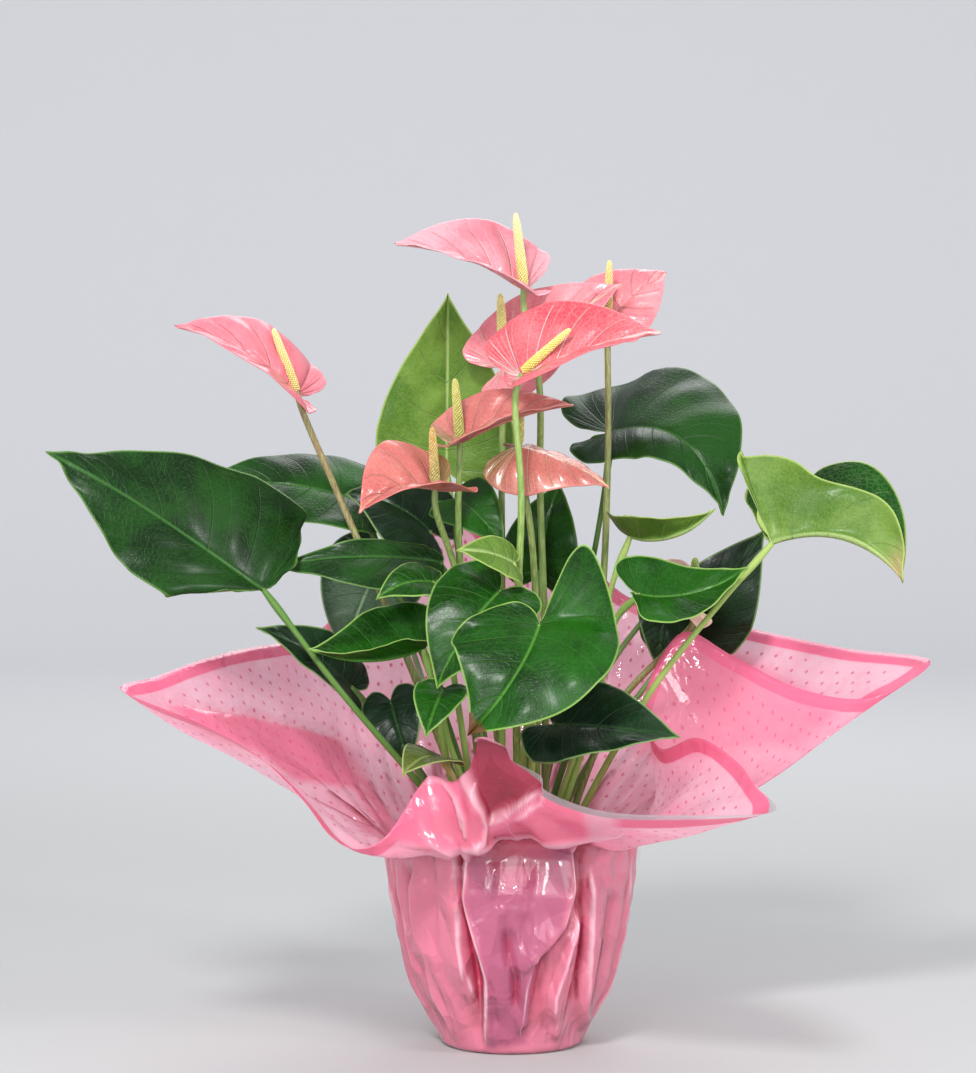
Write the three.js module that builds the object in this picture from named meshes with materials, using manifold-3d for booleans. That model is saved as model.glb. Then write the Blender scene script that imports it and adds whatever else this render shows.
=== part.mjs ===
// A potted anthurium: a nursery pot in a gathered square of film, soil, a crown,
// petioled heart leaves, and flowers of stem, spathe and spadix.
// Millimetres, +Z up. The origin is the middle of the wrapped base, on the ground.
import * as THREE from 'three';
import { mergeVertices } from 'three/addons/utils/BufferGeometryUtils.js';
import Module from 'manifold-3d';

const wasm = await Module();
wasm.setup();

// Driving dimensions
const GAP = 0.3;
const POT_BASE_RADIUS = 40;
const POT_TOP_RADIUS = 63;
const POT_LIP_RADIUS = 66;
const POT_HEIGHT = 114;
const POT_WALL = 1.4;
const POT_LIP_HEIGHT = 12;
const POT_CHAMFER = 3;
const POT_SIDES = 24;
const DRAIN_HOLE_RADIUS = 4;
const DRAIN_HOLE_SIDES = 8;
const DRAIN_DRILL_LENGTH = 10;
const DRAIN_HOLE_CIRCLE = 24;
const DRAIN_HOLES = 5;
const SOIL_TOP = 102;
const SOIL_EDGE_DROP = 4;
const CROWN_RADIUS = 40;
const CROWN_TOP = 108;
const CROWN_FOOT_HEIGHT = 2;
const CROWN_SHOULDER = 3;
const FILM_THICKNESS = 1;
const FILM_COLUMNS = 60;
const FILM_NECK_RADIUS = 77;
const FILM_NECK_Z = 121;
const FLARE_ROWS = 5;
const TAPE_HEIGHT = 9;
const TAPE_THICKNESS = 0.6;
const TAPE_Z = 108;
const LEAF_THICKNESS = 0.8;
const SPATHE_THICKNESS = 1;
const STEM_RADIUS = 2.2;
const STEM_SIDES = 6;
const STEM_STEPS = 7;
const STEM_STRAIGHT = 10;
const SPADIX_SIDES = 8;
const BLADE_ROWS = 10;
const BLADE_COLUMNS = 2;
const STEM_PAST_SPATHE = 1.6;

const POT_FLOOR = FILM_THICKNESS + GAP;
const SEAT_Z = CROWN_TOP + GAP;

// The outline of half a blade, from the sinus round the lobe to the tip.
// Along is in lobe lengths behind the stalk and in blade lengths ahead of it;
// across is in half widths.
const LEAF_OUTLINE = [
  [0, 0], [-0.5, 0.1], [-0.92, 0.3], [-1, 0.56], [-0.62, 0.84], [0.08, 1],
  [0.32, 0.93], [0.56, 0.69], [0.78, 0.36], [0.92, 0.11], [1, 0],
];
const SPATHE_OUTLINE = [
  [0, 0], [-0.55, 0.14], [-0.95, 0.36], [-0.98, 0.64], [-0.5, 0.9], [0.16, 1],
  [0.42, 0.88], [0.64, 0.6], [0.83, 0.27], [0.94, 0.07], [1, 0],
];
// The share of the outline whose veins all start at the stalk.
const FAN_SHARE = 0.45;
const VEIN_SWEEP = 1.4;

// Leaves: where the petiole leaves the crown, the points it passes, the blade's
// base and tip, and the way its upper face looks. Fold and curl are in degrees,
// at the midrib and gained by the margin, for the left and the right half.
const LEAVES = [
  { name: 'leaf_left_large', root: [-26, -14], via: [[-58, -46, 165], [-98, -66, 215]],
    base: [-145, -60, 276], tip: [-268, -85, 357], face: [0.3, -0.85, 0.45],
    width: [38, 60], lobe: [2, 8], sweep: [0.34, 0], arch: 6, left: [4, -30], right: [6, -16],
    lift: [-6, -4], wave: [2, 2, 0], tone: 'deep' },
  { name: 'leaf_left_behind', root: [-18, 22], via: [[-46, 26, 210], [-76, 28, 285]],
    base: [-93, 34, 326], tip: [-202, 44, 334], face: [0.1, -0.6, 0.8],
    width: [34, 36], lobe: [16, 16], arch: 8, left: [10, -20], right: [10, -24], lift: [-4, -4],
    wave: [2, 2, 1], tone: 'mid' },
  { name: 'leaf_left_dark', root: [-8, 14], via: [[-20, 18, 200], [-40, 16, 270]],
    base: [-50, 14, 308], tip: [-102, 22, 330], face: [-0.2, -0.5, 0.85],
    width: [34, 34], lobe: [16, 16], arch: 8, left: [14, -30], right: [14, -20], lift: [0, 0],
    wave: [2, 2, 2], tone: 'dark' },
  { name: 'leaf_back_upright', root: [-4, 32], via: [[-14, 52, 220], [-34, 60, 300]],
    base: [-40, 56, 345], tip: [-39, 44, 453], face: [0, -0.9, 0.35],
    width: [44, 42], lobe: [10, 10], arch: -6, left: [14, -10], right: [14, -10], lift: [4, 4],
    wave: [2, 2, 0], tone: 'pale' },
  { name: 'leaf_right_top', root: [14, 26], via: [[36, 44, 220], [54, 50, 310]],
    base: [62, 46, 368], tip: [127, 0, 317], face: [0.3, -0.6, 0.75],
    width: [60, 32], lobe: [34, 22], sweep: [0, 0.1], arch: 24, left: [24, -20], right: [4, -50],
    lift: [12, 2], wave: [3, 2, 1], sway: 4, tone: 'deep' },
  { name: 'leaf_right_curled', root: [33, -4], via: [[80, -22, 210], [122, -26, 265]],
    base: [154, -26, 302], tip: [228, -56, 280], face: [0.15, 0.3, 0.9],
    width: [56, 62], lobe: [16, 14], sweep: [0, 0], arch: 16, left: [60, 10], right: [80, -4],
    lift: [6, 10], wave: [3, 2, 0], tone: 'pale' },
  { name: 'leaf_right_behind', root: [24, 24], via: [[52, 50, 170], [84, 66, 210]],
    base: [104, 72, 236], tip: [158, 60, 308], face: [0.1, -0.9, 0.3],
    width: [28, 32], lobe: [14, 14], sweep: [0, 0.2], arch: 6, left: [10, -16], right: [10, -16],
    lift: [0, 0], wave: [2, 2, 0], tone: 'dark' },
  { name: 'leaf_right_hanging', root: [18, 14], via: [[46, 32, 200], [80, 48, 250]],
    base: [97, 56, 264], tip: [89, 46, 222], face: [0, -0.9, 0.3],
    width: [22, 18], lobe: [10, 10], arch: 6, left: [10, -16], right: [10, -16],
    lift: [0, 0], wave: [1, 2, 0], tone: 'dark' },
  { name: 'leaf_right_pale_small', root: [20, 0], via: [[50, 4, 210], [60, 2, 275]],
    base: [71, 0, 305], tip: [120, -30, 323], face: [0, 0.15, 1],
    width: [23, 23], lobe: [12, 12], arch: -8, left: [26, 10], right: [26, 10], lift: [6, 6],
    wave: [1, 2, 0], tone: 'pale' },
  { name: 'leaf_right_bright_small', root: [24, -12], via: [[50, -20, 205], [62, -30, 258]],
    base: [75, -40, 272], tip: [139, -40, 289], face: [0.1, -0.6, 0.8],
    width: [26, 28], lobe: [14, 10], arch: -10, left: [14, 10], right: [14, -16], lift: [4, 6],
    wave: [2, 2, 1], tone: 'bright' },
  { name: 'leaf_front_large', root: [6, -28], via: [[6, -58, 175], [12, -84, 228]],
    base: [15, -95, 258], tip: [-26, -125, 197], face: [-0.1, -0.85, 0.5],
    width: [48, 46], lobe: [28, 18], sweep: [0.06, 0.2], arch: 10, left: [14, -30], right: [10, -20],
    lift: [40, 8], wave: [5, 3, 2], sway: 8, tone: 'bright' },
  { name: 'leaf_front_left_second', root: [-6, -18], via: [[-6, -36, 200], [-6, -54, 250]],
    base: [-8, -66, 275], tip: [-44, -86, 220], face: [-0.3, -0.85, 0.4],
    width: [30, 34], lobe: [10, 14], arch: 8, left: [12, -26], right: [12, -10], lift: [0, 0],
    wave: [2, 2, 0], tone: 'bright' },
  { name: 'leaf_front_flap', root: [10, -16], via: [[12, -40, 200], [9, -50, 255]],
    base: [0, -64, 292], tip: [-33, -84, 300], face: [0.1, -0.8, 0.6],
    width: [16, 14], lobe: [6, 6], arch: 4, left: [10, -10], right: [10, -10], lift: [0, 0],
    wave: [1, 2, 0], tone: 'pale' },
  { name: 'leaf_left_long', root: [-14, -6], via: [[-24, -12, 210], [-32, -14, 265]],
    base: [-43, -16, 290], tip: [-144, -28, 287], face: [-0.05, -0.7, 0.7],
    width: [30, 13], lobe: [6, 6], sweep: [0.1, 0.1], arch: 8, left: [6, -16], right: [16, -20],
    lift: [0, 0], wave: [2, 2, 0], tone: 'deep' },
  { name: 'leaf_left_short', root: [-20, -20], via: [[-31, -34, 200], [-39, -43, 250]],
    base: [-47, -49, 280], tip: [-80, -60, 270], face: [0, -0.7, 0.7],
    width: [16, 16], lobe: [8, 8], arch: 6, left: [16, -20], right: [16, -28], lift: [0, 0],
    wave: [1, 2, 0], tone: 'bright' },
  { name: 'leaf_left_grey', root: [-26, 14], via: [[-48, 34, 195], [-68, 44, 255]],
    base: [-80, 54, 288], tip: [-104, 48, 228], face: [-0.2, -0.9, 0.25],
    width: [34, 34], lobe: [14, 14], arch: 6, left: [8, -12], right: [8, -12], lift: [0, 0],
    wave: [2, 2, 0], tone: 'grey' },
  { name: 'leaf_left_bright', root: [-30, -2], via: [[-42, -26, 190], [-48, -50, 225]],
    base: [-52, -60, 242], tip: [-118, -76, 243], face: [0, -0.5, 0.87],
    width: [18, 40], lobe: [10, 14], sweep: [0.1, 0.05], arch: -8, left: [56, 0], right: [22, -10],
    lift: [0, 0], wave: [2, 2, 0], tone: 'bright' },
  { name: 'leaf_left_low', root: [-30, 12], via: [[-56, -2, 165], [-82, -14, 200]],
    base: [-96, -30, 217], tip: [-150, -56, 254], face: [0.1, -0.7, 0.7],
    width: [18, 24], lobe: [12, 12], arch: 6, left: [16, -14], right: [16, -20], lift: [0, 0],
    wave: [2, 2, 0], tone: 'dark' },
  { name: 'leaf_left_drooping', root: [-38, -2], via: [[-54, -12, 160], [-70, -20, 194]],
    base: [-72, -28, 208], tip: [-60, -40, 170], face: [-0.2, -0.8, 0.55],
    width: [18, 18], lobe: [8, 8], arch: 6, left: [16, -14], right: [16, -20], lift: [0, 0],
    wave: [1, 2, 0], tone: 'dark' },
  { name: 'leaf_front_young', root: [-14, -28], via: [[-30, -50, 165], [-40, -64, 200]],
    base: [-40, -70, 219], tip: [-50, -95, 193], face: [-0.1, -0.85, 0.5],
    width: [16, 16], lobe: [6, 6], arch: 4, left: [16, -14], right: [16, -20], lift: [0, 0],
    wave: [1, 2, 0], tone: 'bright' },
  { name: 'leaf_front_right_dark', root: [18, -26], via: [[18, -50, 155], [22, -68, 182]],
    base: [24, -75, 199], tip: [94, -120, 196], face: [-0.05, -0.6, 0.8],
    width: [28, 30], lobe: [10, 12], sweep: [0.1, 0], arch: 2, left: [24, -10], right: [4, -20],
    lift: [2, 6], wave: [2, 2, 0], tone: 'dark' },
  { name: 'leaf_centre_mid', root: [-14, 12], via: [[-20, 6, 210], [-32, 10, 290]],
    base: [-34, 8, 327], tip: [-4, -14, 298], face: [-0.1, -0.75, 0.6],
    width: [20, 20], lobe: [6, 6], arch: 8, left: [16, -14], right: [16, -20], lift: [0, 0],
    wave: [1, 2, 0], tone: 'mid' },
  { name: 'leaf_centre_back', root: [8, 8], via: [[10, 22, 200], [14, 26, 255]],
    base: [17, 24, 284], tip: [30, 34, 337], face: [-0.1, -0.8, 0.6],
    width: [24, 24], lobe: [10, 10], arch: 8, left: [16, -14], right: [16, -20], lift: [0, 0],
    wave: [1, 2, 0], tone: 'mid' },
  { name: 'leaf_rim_olive', root: [-22, -30], via: [[-30, -46, 140], [-34, -56, 165]],
    base: [-42, -66, 178], tip: [-64, -88, 170], face: [0, -0.4, 0.9],
    width: [18, 18], lobe: [6, 6], arch: 6, left: [16, -14], right: [16, -20], lift: [0, 0],
    wave: [1, 2, 0], tone: 'olive' },
];

// Flowers: the stem's way up and the way its end points, the spathe as the
// leaves have it, and the spadix from the end of the stem to its own tip.
const FLOWERS = [
  { root: [20, 6], via: [[20, 12, 240], [17, 12, 335], [16, -8, 398]], end: [0, 0, 1],
    base: [7, 0, 453], tip: [-70, -26, 479], face: [0.1, -0.4, 0.9],
    width: [20, 37], lobe: [10, 8], arch: 6, left: [16, 0], right: [34, 0], lift: [8, 8],
    wave: [1, 2, 0], spadix: [2, -5, 498], radius: 3.1, tone: 'pink' },
  { root: [-10, 24], via: [[-6, 34, 240], [-6, 34, 350]], end: [0, 0, 1],
    base: [-5, 28, 408], tip: [68, 6, 457], face: [-0.2, -0.8, 0.5],
    width: [34, 30], lobe: [16, 16], arch: 4, left: [14, -20], right: [14, -20], lift: [8, 8],
    wave: [1, 2, 0], spadix: [-7, 17, 451], radius: 3.3, tone: 'pink' },
  { root: [26, 12], via: [[52, 20, 240], [58, 14, 350]], end: [0, 0, 1],
    base: [58, 22, 435], tip: [95, 44, 466], face: [-0.2, -0.8, 0.5],
    width: [30, 24], lobe: [14, 8], arch: 4, left: [10, -20], right: [10, -20], lift: [6, 6],
    wave: [1, 2, 0], spadix: [59, 17, 471], radius: 2.6, tone: 'salmon' },
  { root: [4, -16], via: [[2, -44, 240], [5, -56, 330]], end: [0.35, -0.1, 1],
    base: [5, -56, 400], tip: [85, -82, 425], face: [-0.1, -0.45, 0.9],
    width: [42, 18], lobe: [16, 6], arch: 4, left: [30, 0], right: [10, 0], lift: [8, 6],
    wave: [1, 2, 0], spadix: [33, -68, 427], radius: 2.7, tone: 'pink' },
  { root: [-12, -2], via: [[-26, -6, 240], [-32, -20, 310]], end: [0, 0, 1],
    base: [-31, -25, 361], tip: [36, -38, 384], face: [0, -0.3, 0.9],
    width: [28, 24], lobe: [12, 10], arch: 4, left: [34, 0], right: [20, 0], lift: [6, 6],
    wave: [1, 2, 0], spadix: [-34, -25, 399], radius: 3, tone: 'salmon' },
  { root: [-16, -10], via: [[-26, -30, 230], [-33, -46, 285]], end: [0, 0, 1],
    base: [-45, -62, 334], tip: [-88, -100, 322], face: [-0.1, -0.4, 0.9],
    width: [26, 34], lobe: [14, 14], arch: 8, left: [20, -10], right: [44, -10], lift: [6, 6],
    wave: [1, 2, 0], spadix: [-47, -56, 370], radius: 2.8, tone: 'salmon' },
  { root: [14, -4], via: [[15, -10, 220], [12, -20, 300]], end: [-0.1, 0, 1],
    base: [4, -26, 359], tip: [57, -46, 335], face: [0.1, 0.2, 0.95],
    width: [26, 31], lobe: [13, 15], arch: 4, left: [16, -20], right: [-50, -44], lift: [0, -4],
    wave: [1, 2, 0], spadix: [5, -27, 380], radius: 2.8, tone: 'salmon' },
  { root: [-22, 4], via: [[-70, -4, 250], [-104, -4, 330]], end: [-0.3, 0, 1],
    base: [-128, -10, 390], tip: [-198, -44, 430], face: [0.1, -0.5, 0.85],
    width: [24, 34], lobe: [8, 12], arch: 8, left: [10, 0], right: [24, -10], lift: [4, 6],
    wave: [1, 2, 0], spadix: [-142, -15, 429], radius: 2.8, tone: 'pink' },
  { root: [32, 12], via: [[64, 26, 200], [96, 30, 235]], end: [0, 0, 1],
    base: [111, 28, 262], tip: [70, 16, 280], face: [0.3, -0.6, 0.7],
    width: [20, 24], lobe: [8, 10], arch: 6, left: [14, -20], right: [24, -20], lift: [6, 6],
    wave: [1, 2, 0], spadix: [112, 30, 291], radius: 3.4, tone: 'cream' },
];

// The film's edge: the angle at the neck where a fold starts, the point where
// it ends, and how far it bellies out and down on the way.
const FILM_EDGE = [
  [195, [-223, -100, 221], 4], [205, [-176, -120, 203], 6], [214, [-143, -130, 186], 8],
  [223, [-119, -130, 162], 8], [231, [-103, -127, 140], 6], [239, [-88, -118, 132], 2],
  [247, [-72, -107, 139], 6], [255, [-50, -84, 168], 26], [262, [-34, -96, 168], 24],
  [268, [-29, -118, 182], 14], [274, [-20, -132, 196], 10], [280, [-5, -130, 190], 14],
  [286, [12, -125, 170], 14], [292, [47, -148, 158], 6], [298, [95, -174, 158], 4],
  [305, [140, -190, 162], 4], [313, [134, -165, 172], 6], [321, [124, -130, 184], 6],
  [330, [106, -95, 193], 8], [339, [86, -52, 183], 12], [348, [78, -14, 208], 22],
  [355, [102, 12, 246], 34], [2, [134, 15, 232], 40], [9, [174, 18, 212], 34],
  [15, [218, 20, 206], 16], [21, [255, 25, 228], 4], [30, [210, 60, 233], 4],
  [39, [169, 85, 240], 4], [48, [148, 100, 244], 6], [58, [114, 115, 248], 8],
  [68, [75, 125, 262], 10], [80, [44, 130, 285], 14], [92, [-6, 130, 298], 14],
  [103, [-29, 135, 314], 10], [114, [-55, 130, 306], 14], [126, [-74, 120, 286], 12],
  [138, [-101, 100, 262], 10], [150, [-122, 70, 242], 8], [162, [-144, 35, 238], 6],
  [172, [-166, 0, 236], 6], [180, [-187, -35, 232], 6], [188, [-207, -70, 226], 4],
];
// The film's outer side below the neck, as radius and height.
const FILM_SIDE = [
  [0, 0], [22, 0], [39, 0], [43, 2.5], [45.5, 8], [54, 22], [62, 38], [69, 64], [74, 92],
  [FILM_NECK_RADIUS, FILM_NECK_Z],
];

// A spadix in side view, as shares of its radius and of its length.
const SPADIX_PROFILE = [
  [0, 0], [0.8, 0], [1, 0.15], [0.85, 0.6], [0.62, 0.93], [0.3, 1], [0, 1],
];

const LEAF_TONES = {
  deep: 0x1f5a22, mid: 0x2f6a2c, dark: 0x16351f, pale: 0x7fae45, bright: 0x2f8a22,
  grey: 0x4b6a52, olive: 0x556b2a,
};
const SPATHE_TONES = { pink: 0xf08fa0, salmon: 0xe67c72, cream: 0xe9b9a4 };
const ROUGHNESS = {
  film: 0.25, tape: 0.2, pot: 0.6, soil: 0.95, crown: 0.8, leaf: 0.4, stem: 0.5, spathe: 0.35,
  spadix: 0.7,
};
const COLOURS = {
  film: 0xf0a0bd, tape: 0xf4d3de, pot: 0x2a2626, soil: 0x3a2a1e, crown: 0x5a5a34, stem: 0x7ba03c,
  spadix: 0xe9e08a,
};

const vector = (p) => new THREE.Vector3(...p);
const radians = (degrees) => (degrees * Math.PI) / 180;

// A point of a smooth curve through the given values, at share t of its length.
function splineAt(points, t) {
  const last = points.length - 1;
  const spot = Math.min(Math.max(t, 0), 1) * last;
  const i = Math.min(Math.floor(spot), last - 1);
  const s = spot - i;
  const pick = (k) => points[Math.min(Math.max(k, 0), last)];
  const [a, b, c, d] = [pick(i - 1), pick(i), pick(i + 1), pick(i + 2)];
  return a.map((_, n) => {
    const slopeIn = (c[n] - a[n]) / 2;
    const slopeOut = (d[n] - b[n]) / 2;
    const rise = c[n] - b[n];
    const cubic = slopeIn + slopeOut - 2 * rise;
    const square = 3 * rise - 2 * slopeIn - slopeOut;
    return ((cubic * s + square) * s + slopeIn) * s + b[n];
  });
}

// The bent surface of a blade as a function of side (+1 left, -1 right),
// the share t of its outline and the share s from midrib to margin.
function bladeSurface(blade, outline) {
  const { sway = 0, sweep = [0, 0] } = blade;
  const base = vector(blade.base);
  const chord = vector(blade.tip).sub(base);
  const length = chord.length();
  const ahead = chord.clone().normalize();
  const up = vector(blade.face);
  up.addScaledVector(ahead, -up.dot(ahead)).normalize();
  const leftward = new THREE.Vector3().crossVectors(up, ahead);

  function midrib(along) {
    const share = along / length;
    const bow = 4 * share * (1 - share);
    const slope = (4 * (1 - 2 * share)) / length;
    const point = base.clone().addScaledVector(ahead, along);
    const tangent = ahead.clone();
    const bend = share > 0 ? bow : (4 * along) / length;
    const lean = share > 0 ? slope : 4 / length;
    point.addScaledVector(up, blade.arch * bend).addScaledVector(leftward, sway * bend);
    tangent.addScaledVector(up, blade.arch * lean).addScaledVector(leftward, sway * lean);
    tangent.normalize();
    const across = new THREE.Vector3().crossVectors(up, tangent).normalize();
    return { point, across, normal: new THREE.Vector3().crossVectors(tangent, across) };
  }

  return (side, t, s) => {
    const [edgeAlong, edgeAcross] = splineAt(outline, t);
    const rib = Math.max((t - FAN_SHARE) / (1 - FAN_SHARE), 0) ** VEIN_SWEEP * length;
    const pick = ([left, right]) => (side > 0 ? left : right);
    const lobe = pick(blade.lobe);
    const [fold, curl] = pick([blade.left, blade.right]).map(radians);
    const width = Math.max(edgeAcross, 0);
    const plain = edgeAlong * (edgeAlong < 0 ? lobe : length);
    const edge = plain + pick(sweep) * width * (length - plain);
    const along = rib + (edge - rib) * s;
    const share = width * s;
    const reach = share * pick(blade.width);
    const angle = fold + (curl * share) / 2;
    const { point, across, normal } = midrib(along);
    const [height, count, phase] = blade.wave;
    const ripple = height * share ** 2 * Math.sin(2 * Math.PI * count * t + phase + side);
    const back = Math.min(along, 0) / lobe;
    const rise = reach * Math.sin(angle) + ripple + pick(blade.lift) * back ** 2;
    return point.addScaledVector(across, side * reach * Math.cos(angle)).addScaledVector(normal, rise);
  };
}

// Triangles of a blade seen from above, on shared vertices: the midrib's are
// common to both halves, and the fan's all start at the stalk.
function bladeSkin(blade, outline) {
  const rows = BLADE_ROWS;
  const columns = BLADE_COLUMNS;
  const surface = bladeSurface(blade, outline);
  const points = [];
  const seen = new Map();
  const rim = { left: [], right: [] };
  function vertex(side, row, column) {
    const t = row / rows;
    const atStalk = row === 0 || (column === 0 && t <= FAN_SHARE);
    const atTip = row === rows;
    const key = atStalk ? 'stalk' : atTip ? 'tip' : column === 0 ? `rib${row}` : `${side}|${row}|${column}`;
    if (!seen.has(key)) {
      seen.set(key, points.length);
      points.push(atStalk ? surface(1, 0, 0) : surface(side, t, column / columns));
    }
    return seen.get(key);
  }
  const triangles = [];
  for (const side of [1, -1]) {
    for (let row = 0; row < rows; row += 1) {
      for (let column = 0; column < columns; column += 1) {
        const a = vertex(side, row, column);
        const b = vertex(side, row + 1, column);
        const c = vertex(side, row + 1, column + 1);
        const d = vertex(side, row, column + 1);
        for (const corners of [[a, b, c], [a, c, d]]) {
          if (new Set(corners).size === 3) triangles.push(side > 0 ? corners : corners.reverse());
        }
      }
    }
    for (let row = 1; row < rows; row += 1) {
      rim[side > 0 ? 'left' : 'right'].push(vertex(side, row, columns));
    }
  }
  const edge = [vertex(1, 0, 0), ...rim.right, vertex(1, rows, 0), ...rim.left.reverse()];
  return { points, triangles, edge };
}

// A closed solid of the given thickness about a skin with one edge loop.
function thicken({ points, triangles, edge }, thickness) {
  const normals = points.map(() => new THREE.Vector3());
  for (const [a, b, c] of triangles) {
    const ab = points[b].clone().sub(points[a]);
    const normal = ab.cross(points[c].clone().sub(points[a]));
    for (const corner of [a, b, c]) normals[corner].add(normal);
  }
  const count = points.length;
  const skins = [0.5, -0.5].flatMap((share) => points.map((point, i) => (
    point.clone().addScaledVector(normals[i].clone().normalize(), share * thickness))));
  const faces = triangles.flatMap(([a, b, c]) => [[a, b, c], [a + count, c + count, b + count]]);
  edge.forEach((a, i) => {
    const b = edge[(i + 1) % edge.length];
    faces.push([a, a + count, b], [b, a + count, b + count]);
  });
  const geometry = new THREE.BufferGeometry();
  geometry.setAttribute('position', new THREE.Float32BufferAttribute(
    skins.flatMap((p) => p.toArray()), 3));
  geometry.setIndex(faces.flat());
  return geometry;
}

function toSolid(geometry) {
  const plain = geometry.clone();
  plain.deleteAttribute('normal');
  plain.deleteAttribute('uv');
  const merged = mergeVertices(plain, 1e-4);
  return new wasm.Manifold(new wasm.Mesh({
    numProp: 3,
    vertProperties: merged.attributes.position.array,
    triVerts: Uint32Array.from(merged.index.array),
  }));
}

function toGeometry(solid) {
  const { vertProperties, triVerts } = solid.getMesh();
  const geometry = new THREE.BufferGeometry();
  geometry.setAttribute('position', new THREE.BufferAttribute(vertProperties, 3));
  geometry.setIndex(new THREE.BufferAttribute(triVerts, 1));
  return geometry;
}

// A round stalk along the curve through the points.
function stalk(points, radius) {
  const ring = new THREE.Shape();
  for (let i = 0; i < STEM_SIDES; i += 1) {
    const turn = (2 * Math.PI * i) / STEM_SIDES;
    const spot = [radius * Math.cos(turn), radius * Math.sin(turn)];
    if (i === 0) ring.moveTo(...spot);
    else ring.lineTo(...spot);
  }
  const curve = new THREE.CatmullRomCurve3(points.map(vector), false, 'centripetal');
  return new THREE.ExtrudeGeometry(ring, { steps: STEM_STEPS, extrudePath: curve });
}

// Every stalk leaves the crown straight up.
function stalkRoute(root, via) {
  return [[...root, SEAT_Z], [...root, SEAT_Z + STEM_STRAIGHT], ...via];
}

const part = new THREE.Group();

function addPiece(name, geometry, finish, color = COLOURS[finish]) {
  const roughness = ROUGHNESS[finish];
  const material = new THREE.MeshStandardMaterial({ color, roughness, metalness: 0 });
  const mesh = new THREE.Mesh(geometry, material);
  mesh.name = name;
  part.add(mesh);
}

function latheSolid(profile, sides) {
  const points = profile.map(([radius, z]) => new THREE.Vector2(radius, z));
  return new THREE.LatheGeometry(points, sides).rotateX(Math.PI / 2);
}

// The nursery pot, with drain holes through its floor
function potGeometry() {
  const top = POT_FLOOR + POT_HEIGHT;
  const lip = top - POT_LIP_HEIGHT;
  const inner = POT_TOP_RADIUS - POT_WALL;
  let pot = toSolid(latheSolid([
    [0, POT_FLOOR], [POT_BASE_RADIUS - POT_CHAMFER, POT_FLOOR],
    [POT_BASE_RADIUS, POT_FLOOR + POT_CHAMFER], [POT_TOP_RADIUS, lip], [POT_LIP_RADIUS, lip],
    [POT_LIP_RADIUS, top], [inner, top], [inner, lip],
    [POT_BASE_RADIUS - POT_WALL, POT_FLOOR + POT_WALL], [0, POT_FLOOR + POT_WALL],
  ], POT_SIDES));
  for (let i = 0; i < DRAIN_HOLES; i += 1) {
    const turn = (2 * Math.PI * i) / DRAIN_HOLES;
    const drill = new THREE.CylinderGeometry(
      DRAIN_HOLE_RADIUS, DRAIN_HOLE_RADIUS, DRAIN_DRILL_LENGTH, DRAIN_HOLE_SIDES);
    drill.rotateX(Math.PI / 2);
    drill.translate(DRAIN_HOLE_CIRCLE * Math.cos(turn), DRAIN_HOLE_CIRCLE * Math.sin(turn), POT_FLOOR);
    pot = pot.subtract(toSolid(drill));
  }
  return toGeometry(pot);
}

// Soil fills the pot to a low mound, clear of its wall.
function soilGeometry() {
  const floor = POT_FLOOR + POT_WALL + GAP;
  const wallTop = POT_FLOOR + POT_HEIGHT - POT_LIP_HEIGHT;
  const wallSlope = (POT_TOP_RADIUS - POT_BASE_RADIUS) / (wallTop - POT_FLOOR - POT_WALL);
  const radiusAt = (z) => POT_BASE_RADIUS - POT_WALL + wallSlope * (z - floor) - 2 * GAP;
  const edge = SOIL_TOP - SOIL_EDGE_DROP;
  return latheSolid([
    [0, floor], [radiusAt(floor), floor], [radiusAt(edge), edge],
    [CROWN_RADIUS + SOIL_EDGE_DROP, SOIL_TOP], [0, SOIL_TOP],
  ], POT_SIDES);
}

function crownGeometry() {
  const foot = SOIL_TOP + GAP;
  return latheSolid([
    [0, foot], [CROWN_RADIUS, foot], [CROWN_RADIUS, foot + CROWN_FOOT_HEIGHT],
    [CROWN_RADIUS - CROWN_SHOULDER, CROWN_TOP], [0, CROWN_TOP],
  ], POT_SIDES);
}

// One skin of film from the middle of the base, up the side and out over the flare.
function filmPoint(turnShare, row) {
  const sideRows = FILM_SIDE.length - 1;
  const ribs = FILM_EDGE.length;
  const spot = turnShare * ribs;
  const index = Math.floor(spot) % ribs;
  const around = [-1, 0, 1, 2].map((k) => FILM_EDGE[(index + k + ribs) % ribs]);
  const start = around[1][0];
  const flat = around.map(([angle, end, belly]) => (
    [((angle - start + 540) % 360) - 180, ...end, belly]));
  const [offset, x, y, z, belly] = splineAt(flat, (1 + spot - Math.floor(spot)) / 3);
  const turn = radians(start + offset);
  const out = new THREE.Vector3(Math.cos(turn), Math.sin(turn), 0);
  if (row <= sideRows) {
    const [radius, height] = FILM_SIDE[row];
    return out.multiplyScalar(radius).setZ(height);
  }
  const share = (row - sideRows) / FLARE_ROWS;
  const neck = out.clone().multiplyScalar(FILM_NECK_RADIUS).setZ(FILM_NECK_Z);
  const end = new THREE.Vector3(x, y, z);
  const middle = neck.clone().add(end).multiplyScalar(0.5);
  middle.addScaledVector(out, belly).setZ(middle.z - belly);
  return new THREE.QuadraticBezierCurve3(neck, middle, end).getPoint(share);
}

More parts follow.
